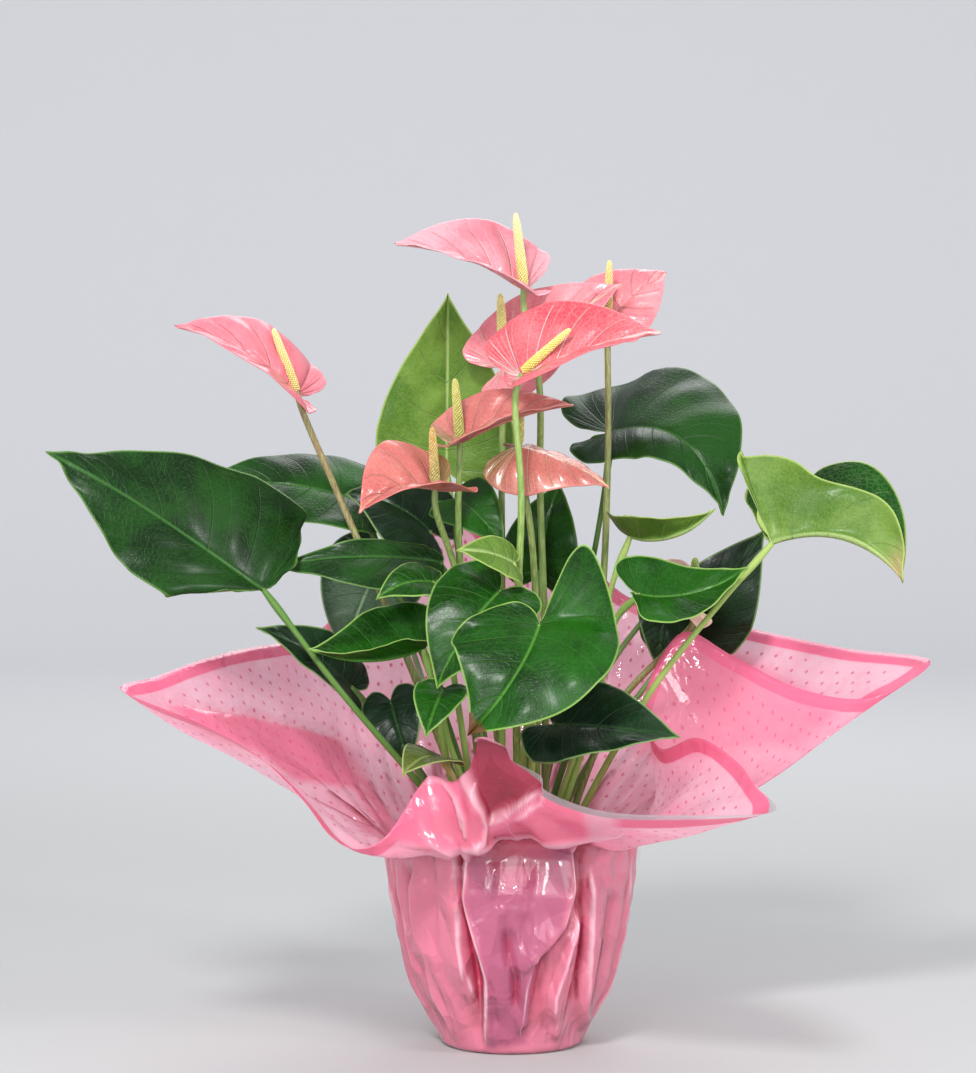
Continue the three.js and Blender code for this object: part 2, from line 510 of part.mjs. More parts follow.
function filmGeometry() {
  const rows = FILM_SIDE.length - 1 + FLARE_ROWS;
  const points = [new THREE.Vector3(0, 0, 0)];
  for (let row = 1; row <= rows; row += 1) {
    for (let column = 0; column < FILM_COLUMNS; column += 1) {
      points.push(filmPoint(column / FILM_COLUMNS, row));
    }
  }
  const at = (row, column) => (row === 0 ? 0 : 1 + (row - 1) * FILM_COLUMNS + (column % FILM_COLUMNS));
  const triangles = [];
  for (let row = 0; row < rows; row += 1) {
    for (let column = 0; column < FILM_COLUMNS; column += 1) {
      const [a, b] = [at(row, column), at(row, column + 1)];
      const [c, d] = [at(row + 1, column), at(row + 1, column + 1)];
      triangles.push([a, c, d]);
      if (row > 0) triangles.push([a, d, b]);
    }
  }
  const edge = Array.from({ length: FILM_COLUMNS }, (_, column) => at(rows, FILM_COLUMNS - column));
  const raised = points.map((point) => point.setZ(point.z + FILM_THICKNESS / 2));
  return thicken({ points: raised, triangles, edge: edge.reverse() }, FILM_THICKNESS);
}

// The tape lies round the film just under its neck, on the same slope.
function tapeGeometry() {
  const [[lowRadius, lowZ]] = FILM_SIDE.slice(-2);
  const slope = (FILM_NECK_RADIUS - lowRadius) / (FILM_NECK_Z - lowZ);
  const clear = FILM_THICKNESS / 2 + 2 * GAP;
  const inner = (z) => lowRadius + slope * (z - lowZ) + clear;
  const top = TAPE_Z + TAPE_HEIGHT;
  return latheSolid([
    [inner(TAPE_Z), TAPE_Z], [inner(TAPE_Z) + TAPE_THICKNESS, TAPE_Z],
    [inner(top) + TAPE_THICKNESS, top], [inner(top), top], [inner(TAPE_Z), TAPE_Z],
  ], FILM_COLUMNS);
}

function leafGeometry(leaf) {
  const blade = toSolid(thicken(bladeSkin(leaf, LEAF_OUTLINE), LEAF_THICKNESS));
  const route = stalkRoute(leaf.root, [...leaf.via, leaf.base]);
  return toGeometry(blade.add(toSolid(stalk(route, STEM_RADIUS))));
}

// A spadix: a blunt tapering rod between two points.
function spadixGeometry(foot, tip, radius) {
  const axis = tip.clone().sub(foot);
  const length = axis.length();
  const profile = SPADIX_PROFILE.map(([wide, along]) => [wide * radius, along * length]);
  const rod = latheSolid(profile, SPADIX_SIDES);
  rod.applyQuaternion(new THREE.Quaternion().setFromUnitVectors(
    new THREE.Vector3(0, 0, 1), axis.normalize()));
  return rod.translate(...foot.toArray());
}

function addFlower(flower, number) {
  const label = `flower_${String(number).padStart(2, '0')}`;
  const end = vector(flower.end).normalize();
  const top = vector(flower.base).addScaledVector(end, STEM_PAST_SPATHE);
  const below = vector(flower.base).addScaledVector(end, -STEM_STRAIGHT);
  const route = stalkRoute(flower.root, [...flower.via, below.toArray(), top.toArray()]);
  const spadixTip = vector(flower.spadix);
  const tilt = spadixTip.clone().sub(top).angleTo(end);
  const foot = top.clone().addScaledVector(end, GAP + flower.radius * Math.sin(tilt));
  const blade = toSolid(thicken(bladeSkin(flower, SPATHE_OUTLINE), SPATHE_THICKNESS));
  const spathe = blade
    .subtract(toSolid(stalk(route, STEM_RADIUS + 2 * GAP)))
    .subtract(toSolid(spadixGeometry(top, spadixTip, flower.radius + 3 * GAP)));
  addPiece(`${label}_stem`, stalk(route, STEM_RADIUS), 'stem');
  addPiece(`${label}_spathe`, toGeometry(spathe), 'spathe', SPATHE_TONES[flower.tone]);
  addPiece(`${label}_spadix`, spadixGeometry(foot, spadixTip, flower.radius), 'spadix');
}

addPiece('film_wrap', filmGeometry(), 'film');
addPiece('neck_tape', tapeGeometry(), 'tape');
addPiece('nursery_pot', potGeometry(), 'pot');
addPiece('soil', soilGeometry(), 'soil');
addPiece('crown', crownGeometry(), 'crown');
for (const leaf of LEAVES) {
  addPiece(leaf.name, leafGeometry(leaf), 'leaf', LEAF_TONES[leaf.tone]);
}
FLOWERS.forEach((flower, i) => addFlower(flower, i + 1));

export default part;
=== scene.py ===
# A potted anthurium in a gathered square of printed film. Sizes are worked out in
# millimetres, as on a drawing, and every mesh is written in metres.
import math

import bpy
import numpy as np
from mathutils import Matrix, Vector


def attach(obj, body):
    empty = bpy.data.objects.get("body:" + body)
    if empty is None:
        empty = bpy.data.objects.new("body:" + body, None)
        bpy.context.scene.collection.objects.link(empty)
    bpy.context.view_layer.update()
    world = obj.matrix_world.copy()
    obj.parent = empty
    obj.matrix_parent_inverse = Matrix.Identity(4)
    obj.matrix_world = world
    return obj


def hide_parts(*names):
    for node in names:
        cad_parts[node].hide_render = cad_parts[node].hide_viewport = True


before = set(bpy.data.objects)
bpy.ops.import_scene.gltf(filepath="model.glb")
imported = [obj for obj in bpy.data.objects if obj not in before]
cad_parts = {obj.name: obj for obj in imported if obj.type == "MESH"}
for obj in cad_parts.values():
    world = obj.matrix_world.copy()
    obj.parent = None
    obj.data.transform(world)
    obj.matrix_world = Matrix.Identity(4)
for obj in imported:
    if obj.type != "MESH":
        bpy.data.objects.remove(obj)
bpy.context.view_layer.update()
MM = 0.001

# The camera's place in mm, its tilt down in degrees, and the picture's size and focal
# length in pixels.
EYE = (-14.4, -1900.0, 369.0)
EYE_PITCH = 1.93
PICTURE = (976, 1073)
FOCAL = 3167.0
# Millimetres to a pixel at the pot.
PIXEL = 0.59
SENSOR = 36.0

# The film's printed border and dots in mm.
BAND = 8.5
CLEAR_STRIP = 5.0
DOT_PITCH, DOT_ROW, DOT_RADIUS = 14.0, 9.0, 1.3

# The outline of half a blade, from the sinus round the lobe to the tip.
# Along is in lobe lengths behind the stalk and in blade lengths ahead of it;
# across is in half widths.
LEAF_OUTLINE = (
    (0, 0), (-0.5, 0.1), (-0.92, 0.3), (-1, 0.56), (-0.62, 0.84), (0.08, 1),
    (0.32, 0.93), (0.56, 0.69), (0.78, 0.36), (0.92, 0.11), (1, 0),
)
SPATHE_OUTLINE = (
    (0, 0), (-0.55, 0.14), (-0.95, 0.36), (-0.98, 0.64), (-0.5, 0.9), (0.16, 1),
    (0.42, 0.88), (0.64, 0.6), (0.83, 0.27), (0.94, 0.07), (1, 0),
)
# The share of the outline whose veins all start at the stalk.
FAN_SHARE = 0.45
VEIN_SWEEP = 1.4


def table(keys, rows, **usual):
    """Rows of values as dictionaries. A short row takes the rest from the usual values."""
    return [usual | dict(zip(keys.split(), row)) for row in rows]


# Where the stalk leaves the crown, the points it passes, the blade's base and tip, and
# the way its upper face looks. Width and lobe are in mm for the left and the right half.
# Left and right hold the fold at the midrib and what is gained by the margin, in degrees.
# Lift raises the lobes, wave is the height, count and phase of the margin's waves, sweep
# carries a half forward and sway bends the midrib sideways.
BLADE = " root via base tip face width lobe arch left right lift wave "
LEAVES = table("name tone" + BLADE + "sweep sway", (
    ("leaf_left_large", "deep", (-26, -14), ((-58, -46, 165), (-98, -66, 215)), (-145, -60, 276),
     (-268, -85, 357), (0.3, -0.85, 0.45), (38, 60), (2, 8), 6, (4, -30), (6, -16), (-6, -4), (2, 2, 0),
     (0.34, 0)),
    ("leaf_left_behind", "mid", (-18, 22), ((-46, 26, 210), (-76, 28, 285)), (-93, 34, 326),
     (-202, 44, 334), (0.1, -0.6, 0.8), (34, 36), (16, 16), 8, (10, -20), (10, -24), (-4, -4), (2, 2, 1)),
    ("leaf_left_dark", "dark", (-8, 14), ((-20, 18, 200), (-40, 16, 270)), (-50, 14, 308), (-102, 22, 330),
     (-0.2, -0.5, 0.85), (34, 34), (16, 16), 8, (14, -30), (14, -20), (0, 0), (2, 2, 2)),
    ("leaf_back_upright", "pale", (-4, 32), ((-14, 52, 220), (-34, 60, 300)), (-40, 56, 345),
     (-39, 44, 453), (0, -0.9, 0.35), (44, 42), (10, 10), -6, (14, -10), (14, -10), (4, 4), (2, 2, 0)),
    ("leaf_right_top", "deep", (14, 26), ((36, 44, 220), (54, 50, 310)), (62, 46, 368), (127, 0, 317),
     (0.3, -0.6, 0.75), (60, 32), (34, 22), 24, (24, -20), (4, -50), (12, 2), (3, 2, 1), (0, 0.1), 4),
    ("leaf_right_curled", "pale", (33, -4), ((80, -22, 210), (122, -26, 265)), (154, -26, 302),
     (228, -56, 280), (0.15, 0.3, 0.9), (58, 49), (5, 2), 16, (65, 6), (80, 0), (6, 18), (17, 2.2, 3.3)),
    ("leaf_right_behind", "dark", (24, 24), ((52, 50, 170), (84, 66, 210)), (104, 72, 236), (158, 60, 308),
     (0.1, -0.9, 0.3), (28, 32), (14, 14), 6, (10, -16), (10, -16), (0, 0), (2, 2, 0), (0, 0.2)),
    ("leaf_right_hanging", "dark", (18, 14), ((46, 32, 200), (80, 48, 250)), (97, 56, 264), (89, 46, 222),
     (0, -0.9, 0.3), (22, 18), (10, 10), 6, (10, -16), (10, -16), (0, 0), (1, 2, 0)),
    ("leaf_right_pale_small", "pale", (20, 0), ((50, 4, 210), (60, 2, 275)), (71, 0, 305), (120, -30, 323),
     (0, 0.15, 1), (23, 23), (12, 12), -8, (26, 10), (26, 10), (6, 6), (1, 2, 0)),
    ("leaf_right_bright_small", "bright", (24, -12), ((50, -20, 205), (62, -30, 258)), (75, -40, 272),
     (139, -40, 289), (0.1, -0.6, 0.8), (26, 28), (14, 10), -10, (14, 10), (14, -16), (4, 6), (2, 2, 1)),
    ("leaf_front_large", "bright", (6, -28), ((6, -58, 175), (12, -84, 228)), (15, -95, 258),
     (-26, -125, 197), (-0.1, -0.85, 0.5), (48, 46), (28, 18), 10, (14, -30), (10, -20), (40, 8),
     (5, 3, 2), (0.06, 0.2), 8),
    ("leaf_front_left_second", "bright", (-6, -18), ((-6, -36, 200), (-6, -54, 250)), (-8, -66, 275),
     (-44, -86, 220), (-0.3, -0.85, 0.4), (30, 34), (10, 14), 8, (12, -26), (12, -10), (0, 0), (2, 2, 0)),
    ("leaf_front_flap", "pale", (10, -16), ((12, -40, 200), (9, -50, 255)), (0, -64, 292), (-33, -84, 300),
     (0.1, -0.8, 0.6), (16, 14), (6, 6), 4, (10, -10), (10, -10), (0, 0), (1, 2, 0)),
    ("leaf_left_long", "deep", (-14, -6), ((-24, -12, 210), (-32, -14, 265)), (-43, -16, 290),
     (-144, -28, 287), (-0.05, -0.7, 0.7), (30, 13), (6, 6), 8, (6, -16), (16, -20), (0, 0), (2, 2, 0),
     (0.1, 0.1)),
    ("leaf_left_short", "bright", (-20, -20), ((-31, -34, 200), (-39, -43, 250)), (-47, -49, 280),
     (-80, -60, 270), (0, -0.7, 0.7), (16, 16), (8, 8), 6, (16, -20), (16, -28), (0, 0), (1, 2, 0)),
    ("leaf_left_grey", "grey", (-26, 14), ((-48, 34, 195), (-68, 44, 255)), (-80, 54, 288),
     (-104, 48, 228), (-0.2, -0.9, 0.25), (34, 34), (14, 14), 6, (8, -12), (8, -12), (0, 0), (2, 2, 0)),
    ("leaf_left_bright", "bright", (-30, -2), ((-42, -26, 190), (-48, -50, 225)), (-52, -60, 242),
     (-118, -76, 243), (0, -0.5, 0.87), (18, 40), (10, 14), -8, (56, 0), (22, -10), (0, 0), (2, 2, 0),
     (0.1, 0.05)),
    ("leaf_left_low", "dark", (-30, 12), ((-56, -2, 165), (-82, -14, 200)), (-96, -30, 217),
     (-150, -56, 254), (0.1, -0.7, 0.7), (18, 24), (12, 12), 6, (16, -14), (16, -20), (0, 0), (2, 2, 0)),
    ("leaf_left_drooping", "dark", (-38, -2), ((-54, -12, 160), (-70, -20, 194)), (-72, -28, 208),
     (-60, -40, 170), (-0.2, -0.8, 0.55), (18, 18), (8, 8), 6, (16, -14), (16, -20), (0, 0), (1, 2, 0)),
    ("leaf_front_young", "bright", (-14, -28), ((-30, -50, 165), (-40, -64, 200)), (-40, -70, 219),
     (-50, -95, 193), (-0.1, -0.85, 0.5), (16, 16), (6, 6), 4, (16, -14), (16, -20), (0, 0), (1, 2, 0)),
    ("leaf_front_right_dark", "dark", (18, -26), ((18, -50, 155), (22, -68, 182)), (24, -75, 199),
     (94, -120, 196), (-0.05, -0.6, 0.8), (28, 30), (10, 12), 2, (24, -10), (4, -20), (2, 6), (2, 2, 0),
     (0.1, 0)),
    ("leaf_centre_mid", "mid", (-14, 12), ((-20, 6, 210), (-32, 10, 290)), (-34, 8, 327), (-4, -14, 298),
     (-0.1, -0.75, 0.6), (20, 20), (6, 6), 8, (16, -14), (16, -20), (0, 0), (1, 2, 0)),
    ("leaf_centre_back", "mid", (8, 8), ((10, 22, 200), (14, 26, 255)), (17, 24, 284), (30, 34, 337),
     (-0.1, -0.8, 0.6), (24, 24), (10, 10), 8, (16, -14), (16, -20), (0, 0), (1, 2, 0)),
    ("leaf_rim_olive", "olive", (-22, -30), ((-30, -46, 140), (-34, -56, 165)), (-42, -66, 178),
     (-64, -88, 170), (0, -0.4, 0.9), (18, 18), (6, 6), 6, (16, -14), (16, -20), (0, 0), (1, 2, 0)),
), sweep=(0, 0), sway=0)

# Flowers have the spadix's tip, its radius, and the way the stem's end points as well.
FLOWERS = table("tone" + BLADE + "spadix radius end", (
    ("pink", (20, 6), ((20, 12, 240), (17, 12, 335), (16, -8, 398)), (7, 0, 453), (-70, -26, 479),
     (0.1, -0.4, 0.9), (20, 37), (10, 8), 6, (16, 0), (34, 0), (8, 8), (1, 2, 0), (2, -5, 498), 3.1),
    ("pink", (-10, 24), ((-6, 34, 240), (-6, 34, 350)), (-5, 28, 408), (68, 6, 457), (-0.2, -0.8, 0.5),
     (34, 30), (16, 16), 4, (14, -20), (14, -20), (8, 8), (1, 2, 0), (-7, 17, 451), 3.3),
    ("salmon", (26, 12), ((52, 20, 240), (58, 14, 350)), (58, 22, 435), (95, 44, 466), (-0.2, -0.8, 0.5),
     (30, 24), (14, 8), 4, (10, -20), (10, -20), (6, 6), (1, 2, 0), (59, 17, 471), 2.6),
    ("pink", (4, -16), ((2, -44, 240), (5, -56, 330)), (5, -56, 400), (85, -82, 425), (-0.1, -0.45, 0.9),
     (42, 18), (16, 6), 4, (30, 0), (10, 0), (8, 6), (1, 2, 0), (33, -68, 427), 2.7, (0.35, -0.1, 1)),
    ("salmon", (-12, -2), ((-26, -6, 240), (-32, -20, 310)), (-31, -25, 361), (36, -38, 384),
     (0, -0.3, 0.9), (28, 24), (12, 10), 4, (34, 0), (20, 0), (6, 6), (1, 2, 0), (-34, -25, 399), 3),
    ("salmon", (-16, -10), ((-26, -30, 230), (-33, -46, 285)), (-45, -62, 334), (-88, -100, 322),
     (-0.1, -0.4, 0.9), (26, 34), (14, 14), 8, (20, -10), (44, -10), (6, 6), (1, 2, 0), (-47, -56, 370),
     2.8),
    ("salmon", (14, -4), ((15, -10, 220), (12, -20, 300)), (4, -26, 359), (57, -46, 335), (0.1, 0.2, 0.95),
     (26, 31), (13, 15), 4, (16, -20), (-50, -44), (0, -4), (1, 2, 0), (5, -27, 380), 2.8, (-0.1, 0, 1)),
    ("pink", (-22, 4), ((-70, -4, 250), (-104, -4, 330)), (-128, -10, 390), (-198, -44, 430),
     (0.1, -0.5, 0.85), (24, 34), (8, 12), 8, (10, 0), (24, -10), (4, 6), (1, 2, 0), (-142, -15, 429), 2.8,
     (-0.3, 0, 1)),
    ("cream", (32, 12), ((64, 26, 200), (96, 30, 235)), (111, 28, 262), (70, 16, 280), (0.3, -0.6, 0.7),
     (20, 24), (8, 10), 6, (14, -20), (24, -20), (6, 6), (1, 2, 0), (112, 30, 291), 3.4),
), end=(0, 0, 1), sweep=(0, 0), sway=0)

# The film's edge: the angle at the neck where a fold starts, the point where
# it ends, and how far it bellies out and down on the way.
FILM_EDGE = (
    (195, (-223, -100, 221), 4), (205, (-176, -120, 203), 6), (214, (-143, -130, 186), 8),
    (223, (-119, -130, 162), 8), (231, (-103, -127, 140), 6), (239, (-88, -118, 132), 2),
    (247, (-72, -107, 139), 6), (255, (-50, -84, 168), 26), (262, (-34, -96, 168), 24),
    (268, (-29, -118, 182), 14), (274, (-20, -132, 196), 10), (280, (-5, -130, 190), 14),
    (286, (12, -125, 170), 14), (292, (47, -148, 158), 6), (298, (95, -174, 158), 4),
    (305, (140, -190, 162), 4), (313, (134, -165, 172), 6), (321, (124, -130, 184), 6),
    (330, (106, -95, 193), 8), (339, (86, -52, 183), 12), (348, (78, -14, 208), 22),
    (355, (102, 12, 246), 34), (2, (134, 15, 232), 40), (9, (174, 18, 212), 34), (15, (218, 20, 206), 16),
    (21, (255, 25, 228), 4), (30, (210, 60, 233), 4), (39, (169, 85, 240), 4), (48, (148, 100, 244), 6),
    (58, (114, 115, 248), 8), (68, (75, 125, 262), 10), (80, (44, 130, 285), 14), (92, (-6, 130, 298), 14),
    (103, (-29, 135, 314), 10), (114, (-55, 130, 306), 14), (126, (-74, 120, 286), 12),
    (138, (-101, 100, 262), 10), (150, (-122, 70, 242), 8), (162, (-144, 35, 238), 6),
    (172, (-166, 0, 236), 6), (180, (-187, -35, 232), 6), (188, (-207, -70, 226), 4),
)
# The film's outer side below the neck, as radius and height.
FILM_SIDE = (
    (0, 0), (22, 0), (39, 0), (43, 2.5), (45.5, 8), (54, 22), (62, 38), (69, 64), (74, 92), (77, 121),
)


# Numbers and meshes

def unit(v):
    return v / np.maximum(np.linalg.norm(v, axis=-1, keepdims=True), 1e-12)


def smooth(x, low, high):
    share = np.clip((np.asarray(x, float) - low) / (high - low), 0, 1)
    return share * share * (3 - 2 * share)


def between(x, rise_from, rise_to, fall_from, fall_to):
    """1 in the middle of a range and 0 outside it."""
    return smooth(x, rise_from, rise_to) * (1 - smooth(x, fall_from, fall_to))


def cubic(a, b, c, d, s):
    """The smooth curve from b to c at the share s, with a before and d after them."""
    slope_in, slope_out, rise = (c - a) / 2, (d - b) / 2, c - b
    third, square = slope_in + slope_out - 2 * rise, 3 * rise - 2 * slope_in - slope_out
    return ((third * s + square) * s + slope_in) * s + b


def spline_at(points, t):
    """A smooth curve through the rows of points, at the shares t of its length."""
    points = np.asarray(points, float)
    last = len(points) - 1
    spot = np.clip(t, 0, 1) * last
    i = np.minimum(spot.astype(int), last - 1)
    return cubic(*(points[np.clip(i + k, 0, last)] for k in (-1, 0, 1, 2)), (spot - i)[..., None])


def smooth_route(points, steps):
    """Points of the centripetal curve through the given ones, evenly stepped in share."""
    p = np.asarray(points, float)
    p = np.vstack([2 * p[0] - p[1], p, 2 * p[-1] - p[-2]])
    out = []
    for i in range(1, len(p) - 2):
        knots = [0.0]
        for k in range(3):
            knots.append(knots[-1] + math.sqrt(np.linalg.norm(p[i + k] - p[i + k - 1])))
        t = np.linspace(knots[1], knots[2], steps, endpoint=False)[:, None]

        def mix(a, b, low, high):
            start, stop = knots[low], knots[high]
            return (stop - t) / (stop - start) * a + (t - start) / (stop - start) * b

        a1, a2, a3 = (mix(p[i + k - 1], p[i + k], k, k + 1) for k in range(3))
        out.append(mix(mix(a1, a2, 0, 2), mix(a2, a3, 1, 3), 1, 2))
    return np.vstack([*out, p[-2][None]])


def circle(sides):
    return np.linspace(0, 2 * np.pi, sides, endpoint=False)


def make_mesh(name, points, faces, maps=None, slots=None):
    """A smooth-shaded mesh in metres from millimetres. maps holds a UV row for every corner."""
    mesh = bpy.data.meshes.new(name)
    mesh.from_pydata((np.asarray(points) * MM).tolist(), [], faces)
    for label, rows in (maps or {}).items():
        layer = mesh.uv_layers.new(name=label)
        layer.data.foreach_set("uv", np.asarray(rows, np.float32).ravel())
    if slots is not None:
        mesh.polygons.foreach_set("material_index", np.asarray(slots, np.int32))
    mesh.polygons.foreach_set("use_smooth", np.ones(len(mesh.polygons), bool))
    mesh.update()
    return mesh


def linked(name, data):
    """A new object of the scene."""
    made = bpy.data.objects.new(name, data)
    bpy.context.scene.collection.objects.link(made)
    return made


def evaluated(source, name):
    """The plain mesh of an object with its modifiers; the object itself is removed."""
    bpy.context.view_layer.update()
    seen = source.evaluated_get(bpy.context.evaluated_depsgraph_get())
    mesh = bpy.data.meshes.new_from_object(seen)
    mesh.name = name
    bpy.data.objects.remove(source)
    return mesh


def add_piece(name, mesh, materials, slot, *nodes):
    """An object for a finished mesh, riding on the plant and standing for its CAD nodes."""
    piece = linked(name, mesh)
    mesh.materials.clear()
    for material in materials:
        mesh.materials.append(material)
    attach(piece, "root")
    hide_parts(*nodes)
    return piece


def mesh_rows(mesh):
    """Points in mm and faces as index tuples."""
    points = np.empty(3 * len(mesh.vertices), np.float32)
    mesh.vertices.foreach_get("co", points)
    return points.reshape(-1, 3) / MM, [tuple(p.vertices) for p in mesh.polygons]


def stacked(*parts):
    """Points, faces and material slots of several meshes in one, a slot for each."""
    points, faces, slots = [], [], []
    for slot, (rows, own) in enumerate(parts):
        first = sum(map(len, points))
        points.append(rows)
        faces += [[v + first for v in face] for face in own]
        slots += [slot] * len(own)
    return np.vstack(points), faces, slots


# Node trees

def tone(red, green, blue):
    """A colour given as a picture shows it, as the shader wants it."""
    return tuple((c / 255 / 12.92) if c <= 10 else ((c / 255 + 0.055) / 1.055) ** 2.4
                 for c in (red, green, blue))


class Graph:
    """A node tree that is written one call a node."""

    def __init__(self, tree):
        self.tree = tree

    def node(self, kind, inputs=None, **settings):
        made = self.tree.nodes.new(kind)
        for key, value in settings.items():
            setattr(made, key, value)
        for key, value in (inputs or {}).items():
            self.feed(made.inputs[key], value)
        return made

    def out(self, kind, inputs=None, **settings):
        """The first output of a new node."""
        return self.node(kind, inputs, **settings).outputs[0]

    def feed(self, socket, value):
        """Links or sets a socket. A colour in whole numbers is one that a picture shows."""
        if isinstance(value, bpy.types.NodeSocket):
            self.tree.links.new(value, socket)
        elif socket.type == "RGBA":
            socket.default_value = (*(tone(*value) if isinstance(value[0], int) else value), 1)
        else:
            socket.default_value = value

    def maths(self, operation, *values, clamp=False):
        inputs = dict(enumerate(values))
        return self.out("ShaderNodeMath", inputs, operation=operation, use_clamp=clamp)

    def mul(self, a, b, clamp=False):
        return self.maths("MULTIPLY", a, b, clamp=clamp)

    def add(self, a, b, clamp=False):
        return self.maths("ADD", a, b, clamp=clamp)

    def sub(self, a, b):
        return self.maths("SUBTRACT", a, b)

    def weigh(self, *pairs):
        """The sum of masks, each times its weight."""
        total = self.mul(*pairs[0])
        for pair in pairs[1:]:
            total = self.add(total, self.mul(*pair))
        return total

    def span(self, value, low, high, to_low=0.0, to_high=1.0, kind="SMOOTHSTEP"):
        inputs = dict(enumerate((value, low, high, to_low, to_high)))
        return self.out("ShaderNodeMapRange", inputs, interpolation_type=kind)

    def even(self, mask, low, high):
        """A straight map of a mask to a range, as for roughness."""
        return self.span(mask, 0.0, 1.0, low, high, "LINEAR")

    def colour(self, factor, a, b):
        return self.node("ShaderNodeMix", {0: factor, 6: a, 7: b}, data_type="RGBA").outputs[2]

    def layers(self, colour, *layers):
        """A colour with others laid over it in turn, each by a mask and a share."""
        for mask, share, over in layers:
            colour = self.colour(self.mul(mask, share), colour, over)
        return colour

    def blend(self, factor, a, b):
        return self.out("ShaderNodeMix", {0: factor, 2: a, 3: b}, data_type="FLOAT")

    def uv(self, name):
        parts = self.node("ShaderNodeSeparateXYZ", {0: self.out("ShaderNodeUVMap", uv_map=name)})
        return parts.outputs[0], parts.outputs[1]

    def place(self):
        return self.node("ShaderNodeTexCoord").outputs["Object"]

    def length(self, vector):
        return self.node("ShaderNodeVectorMath", {0: vector}, operation="LENGTH").outputs["Value"]

    def flattened(self, share):
        """Places drawn together in height, for streaks that run upward."""
        return self.out("ShaderNodeMapping", {"Vector": self.place(), "Scale": (1.0, 1.0, share)})

    def attribute(self, name):
        return self.node("ShaderNodeAttribute", attribute_name=name).outputs["Fac"]

    def noise(self, vector, scale, detail=2.0, roughness=0.5, distortion=0.0):
        return self.node("ShaderNodeTexNoise", {
            "Vector": vector, "Scale": scale, "Detail": detail, "Roughness": roughness,
            "Distortion": distortion}).outputs["Fac"]

    def cells(self, vector, scale):
        """Distance from the borders between random cells."""
        return self.node("ShaderNodeTexVoronoi", {"Vector": vector, "Scale": scale},
                         feature="DISTANCE_TO_EDGE").outputs["Distance"]

    def bump(self, height, distance, strength):
        return self.out("ShaderNodeBump", {"Height": height, "Distance": distance, "Strength": strength})

    def group(self, tree, inputs):
        made = self.node("ShaderNodeGroup")
        made.node_tree = tree
        for key, value in inputs.items():
            self.feed(made.inputs[key], value)
        return made.outputs

    def mottle(self, vector, patch, grain):
        return self.group(MOTTLE, {"Vector": vector, "Patch": patch, "Grain": grain})["Tone"]

    def stored(self, geometry, **values):
        """Geometry that carries named values at its points."""
        for label, value in values.items():
            geometry = self.out("GeometryNodeStoreNamedAttribute", {
                "Geometry": geometry, "Name": label, "Value": value}, data_type="FLOAT", domain="POINT")
        return geometry

    def tube(self, line, sides, radius):
        ring = self.out("GeometryNodeCurvePrimitiveCircle", {"Resolution": sides, "Radius": 1.0})
        return self.out("GeometryNodeCurveToMesh", {
            "Curve": line, "Profile Curve": ring, "Scale": radius, "Fill Caps": True})

    def ball(self, radius):
        return self.out("GeometryNodeMeshIcoSphere", {"Radius": radius, "Subdivisions": 1})


SOCKETS = {float: "NodeSocketFloat", int: "NodeSocketInt", tuple: "NodeSocketVector"}


def node_group(name, kind, inputs, *outputs):
    """A node group: its graph, and the sockets of its inputs and of its output node.
    inputs gives a start value for each label, or the name of a socket's kind without one."""
    tree = bpy.data.node_groups.new(name, kind)
    for label, value in inputs.items():
        bare = isinstance(value, str)
        socket = tree.interface.new_socket(
            label, in_out="INPUT", socket_type="NodeSocket" + value if bare else SOCKETS[type(value)])
        if not bare:
            socket.default_value = value
    socket_type = "NodeSocketFloat" if outputs else "NodeSocketGeometry"
    for label in outputs or ("Geometry",):
        tree.interface.new_socket(label, in_out="OUTPUT", socket_type=socket_type)
    graph = Graph(tree)
    return graph, graph.node("NodeGroupInput").outputs, graph.node("NodeGroupOutput").inputs


def geometry_tree(name, **inputs):
    inputs = {label.replace("_", " "): value for label, value in inputs.items()}
    return node_group(name, "GeometryNodeTree", {"Geometry": "Geometry", **inputs, "Material": "Material"})


def close_tree(graph, given, output, geometry):
    """Every geometry tree ends the same way: real faces, smooth shading and a material."""
    real = graph.out("GeometryNodeRealizeInstances", {0: geometry})
    shaded = graph.out("GeometryNodeSetShadeSmooth", {0: real})
    graph.feed(output[0], graph.out("GeometryNodeSetMaterial", {
        "Geometry": shaded, "Material": given["Material"]}))
    return graph.tree


def grown(tree, name, data, material, **sizes):
    """The plain mesh that a geometry tree makes on an object's data, its inputs given by name."""
    source = linked(name, data)
    modifier = source.modifiers.new("grow", "NODES")
    modifier.node_group = tree
    values = {label.replace("_", " "): value for label, value in sizes.items()} | {"Material": material}
    for item in tree.interface.items_tree:
        if item.item_type == "SOCKET" and item.in_out == "INPUT" and item.name in values:
            modifier[item.identifier] = values[item.name]
    return evaluated(source, name)


def finish_material(name):
    """A material's graph, and a way to close it with its surface."""
    material = bpy.data.materials.new(name)
    material.use_nodes = True
    material.node_tree.nodes.clear()
    graph = Graph(material.node_tree)
    output = graph.node("ShaderNodeOutputMaterial").inputs["Surface"]

    def close(colour, roughness, normal=None, glow=None, through=None, **more):
        """The surface; glow is the share of light that comes through, and through its colour."""
        bent = {} if normal is None else {"Normal": normal}
        more = {SURFACE_INPUTS[key]: value for key, value in more.items()}
        surface = graph.out("ShaderNodeBsdfPrincipled", {
            "Base Color": colour, "Roughness": roughness} | bent | more)
        if glow is not None:
            lit = graph.out("ShaderNodeBsdfTranslucent", {"Color": through or colour} | bent)
            surface = graph.out("ShaderNodeMixShader", {0: glow, 1: surface, 2: lit})
        graph.feed(output, surface)
        return material

    return graph, close


